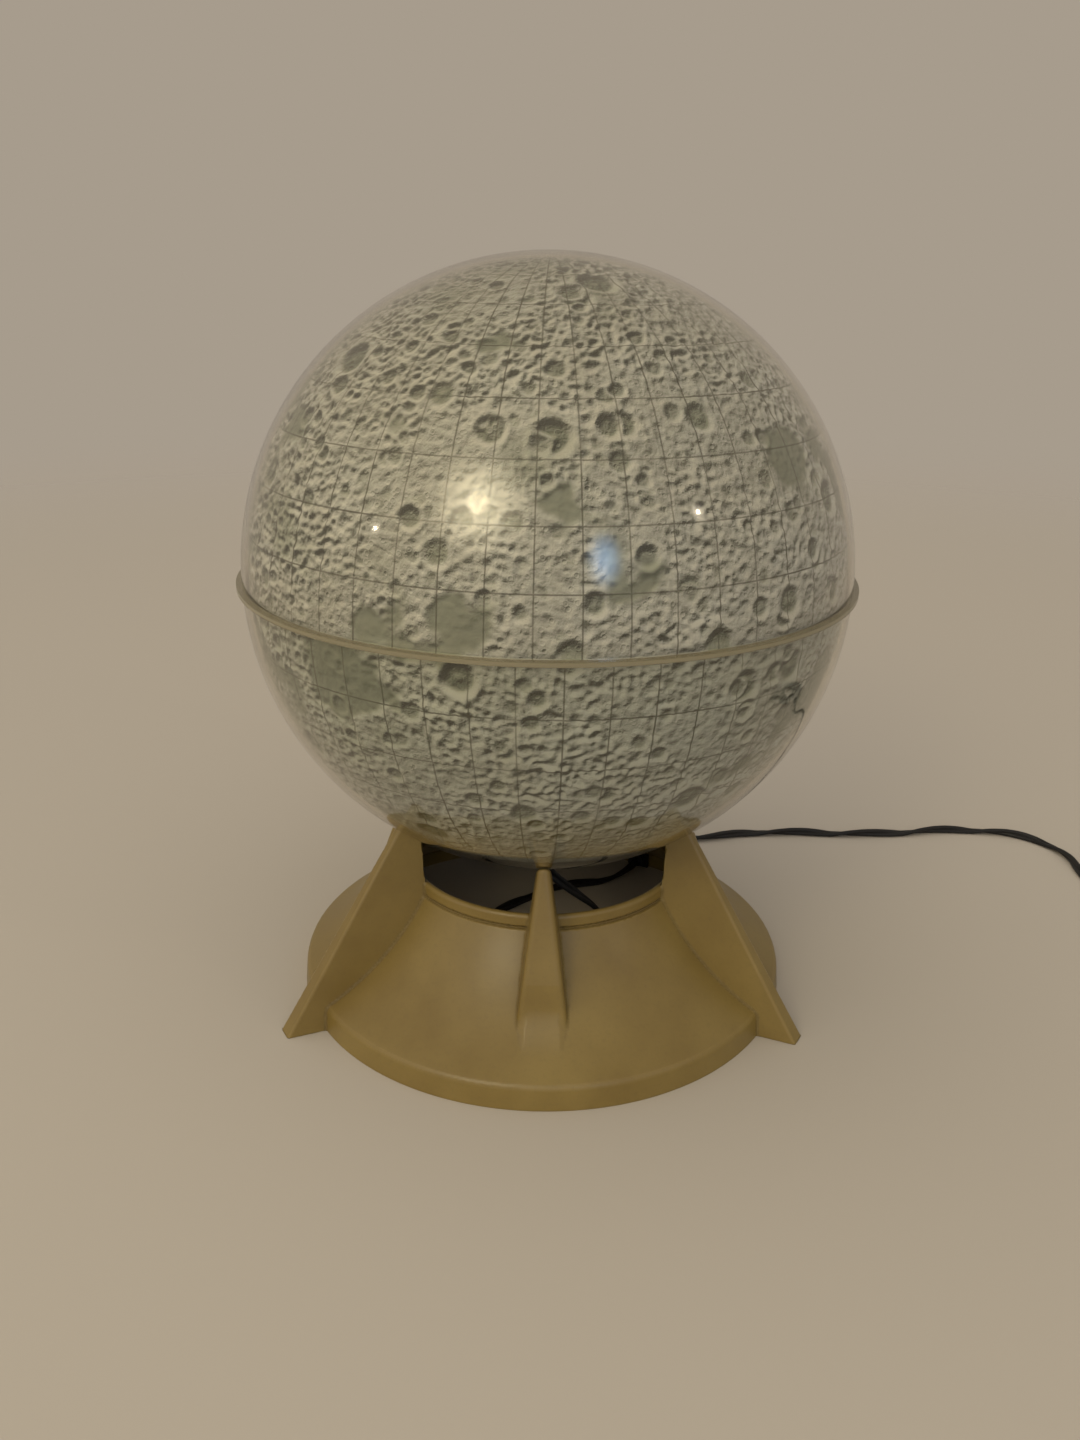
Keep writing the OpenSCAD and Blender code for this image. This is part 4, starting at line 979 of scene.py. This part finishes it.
def makePlug(material):
    p = plugPlan
    rows = np.array(p["outline"])
    length = rows[-1, 0]
    x, y, z = p["end"]
    verts = []
    along = np.linspace(0, length, int(length / p["ring"]) + 1)
    for d in along:
        wide, high = (sum(np.interp(d + e, rows[:, 0], rows[:, k]) for e in (-1, 0, 1)) / 3 for k in (1, 2))
        cut = p["grooveDepth"] * sum(math.exp(-((d - g) / p["grooveWidth"]) ** 2) for g in p["grooves"])
        for gap, size in zip((d, length - d), p["rounding"]):
            cut += size * (1 - math.sqrt(1 - max(0, 1 - gap / size) ** 2))
        power = 2.4 + 0.4 * (wide - rows[0, 1])  # round at the flex, nearly square at the face
        for k in range(p["sides"]):
            c, s = math.cos(2 * math.pi * k / p["sides"]), math.sin(2 * math.pi * k / p["sides"])
            reach = (abs(c) ** power + abs(s) ** power) ** (-1 / power)
            verts.append((x - d, y + (wide - cut) * reach * c, z + (high - cut) * reach * s))
    n = p["sides"]
    faces = [(i * n + k, (i + 1) * n + k, (i + 1) * n + (k + 1) % n, i * n + (k + 1) % n)
             for i in range(len(along) - 1) for k in range(n)]
    faces += [tuple(range(n)), tuple(reversed(range((len(along) - 1) * n, len(along) * n)))]
    plug = makeMesh("plugMoulding", np.array(verts) * mm, faces, material)
    plug.data.polygons[-1].use_smooth = plug.data.polygons[-2].use_smooth = False
    return plug


plug = makePlug(finishes[slotOf["plug_body"]])
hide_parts("plug_body")
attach(plug, "base")
print("plug moulded")

# Stage and light, in metres

stagePlan = {
    "colour": "#b3a999", "sky": "#a79c8d", "radius": 2.6, "fadeFrom": 0.9, "sides": 96,
    "low": -0.0002,  # just under the flex and the stand
    "worldStrength": (0.13, 1.15),  # from the dim side and from the bright side
    "brightSide": (-0.46, -0.55, 0.70),
    "world": "#fff9f2",
    "aim": (0, 0, 0.2),  # what the lamps look at
    # name, place, size, watts, colour, how bright the soft surround is beside the core
    "lamps": [
        ("keyLamp", (-0.983, -1.887, 1.626), (1.7, 1.7), 76, "#fff1cb", 0.51),
        ("windowGlow", (0.809, -2.308, 0.949), (0.66, 1.0), 10, "#a6d0ff", 1.0),
        ("farLampRight", (2.07, -1.336, 1.404), (0.3, 0.3), 34, "#fff0d8", 0.04),
        ("farLampLeft", (-2.339, -1.126, 1.054), (0.26, 0.26), 17, "#fff0d8", 0.04),
    ],
}


def stageFloor():
    # Matt pale table that fades into the room
    p = stagePlan
    material = bpy.data.materials.new("paleTable")
    add = startNodes(material)
    place = add("TexCoord").outputs["Object"]
    far = add("VectorMath", {0: place}, operation="LENGTH")
    fade = add("MapRange", {"Value": far, "From Min": p["fadeFrom"], "From Max": p["radius"]},
                   interpolation_type="SMOOTHSTEP")
    shader = add("BsdfPrincipled", {"Base Color": toLinear(p["colour"]), "Roughness": 0.85})
    clear = add("BsdfTransparent")
    mix = add("MixShader", {0: fade, 1: shader, 2: clear})
    add("OutputMaterial", {"Surface": mix})
    turns = np.linspace(0, 2 * math.pi, p["sides"] + 1)[:-1]
    ring = [(p["radius"] * math.cos(a), p["radius"] * math.sin(a), 0) for a in turns]
    return makeMesh("stageFloor", ring, [tuple(range(p["sides"]))], material, smooth=False)


def softRoom():
    # A plain colour where it is seen, and a light that is stronger on one side
    p = stagePlan
    world = bpy.data.worlds.new("softRoom")
    add = startNodes(world)
    rays = add("LightPath").outputs
    seen = add("Math", {0: rays["Is Camera Ray"], 1: rays["Is Glossy Ray"]}, operation="MAXIMUM")
    seen = add("Math", {0: seen, 1: rays["Is Transmission Ray"]}, operation="MAXIMUM")
    way = add("TexCoord").outputs["Generated"]
    lean = add("VectorMath", {0: way, 1: p["brightSide"]}, operation="DOT_PRODUCT")
    dim, bright = p["worldStrength"]
    strength = add("MapRange", {
        "Value": lean, "From Min": -0.5, "From Max": 0.95, "To Min": dim, "To Max": bright})
    soft = add("Background", {"Color": toLinear(p["world"]), "Strength": strength})
    sky = add("Background", {"Color": toLinear(p["sky"]), "Strength": 1.0})
    mix = add("MixShader", {0: seen, 1: soft, 2: sky})
    add("OutputWorld", {"Surface": mix})
    return world


def softLamp(name, place, size, watts, colour, surround):
    # Bright in the middle, with a soft surround
    data = bpy.data.lights.new(name, "AREA")
    data.shape = "ELLIPSE" if size[0] == size[1] else "RECTANGLE"
    data.size, data.size_y = size
    data.energy = watts
    data.color = toLinear(colour)[:3]
    add = startNodes(data)
    where = add("NewGeometry").outputs["Parametric"]
    centred = add("VectorMath", {0: where, 1: (0.5, 0.5, 0)}, operation="SUBTRACT")
    far = add("VectorMath", {0: centred}, operation="LENGTH")
    parts = []
    for start, end, level in ((0.03, 0.5, surround), (0.07, 0.12, 1.0 - surround)):
        parts.append(add("MapRange", {
            "Value": far, "From Min": start, "From Max": end, "To Min": level, "To Max": 0.0,
        }, interpolation_type="SMOOTHSTEP"))
    both = add("Math", {0: parts[0], 1: parts[1]}, operation="ADD")
    light = add("Emission", {"Strength": both})
    add("OutputLight", {"Surface": light})
    lamp = bpy.data.objects.new(name, data)
    lamp.location = place
    lamp.rotation_euler = (Vector(stagePlan["aim"]) - Vector(place)).to_track_quat("-Z", "Y").to_euler()
    bpy.context.scene.collection.objects.link(lamp)


floorDisc = stageFloor()
floorDisc.location.z = stagePlan["low"]
bpy.context.scene.world = softRoom()
for row in stagePlan["lamps"]:
    softLamp(*row)
bpy.context.scene.view_settings.view_transform = "Standard"
print("stage lit")
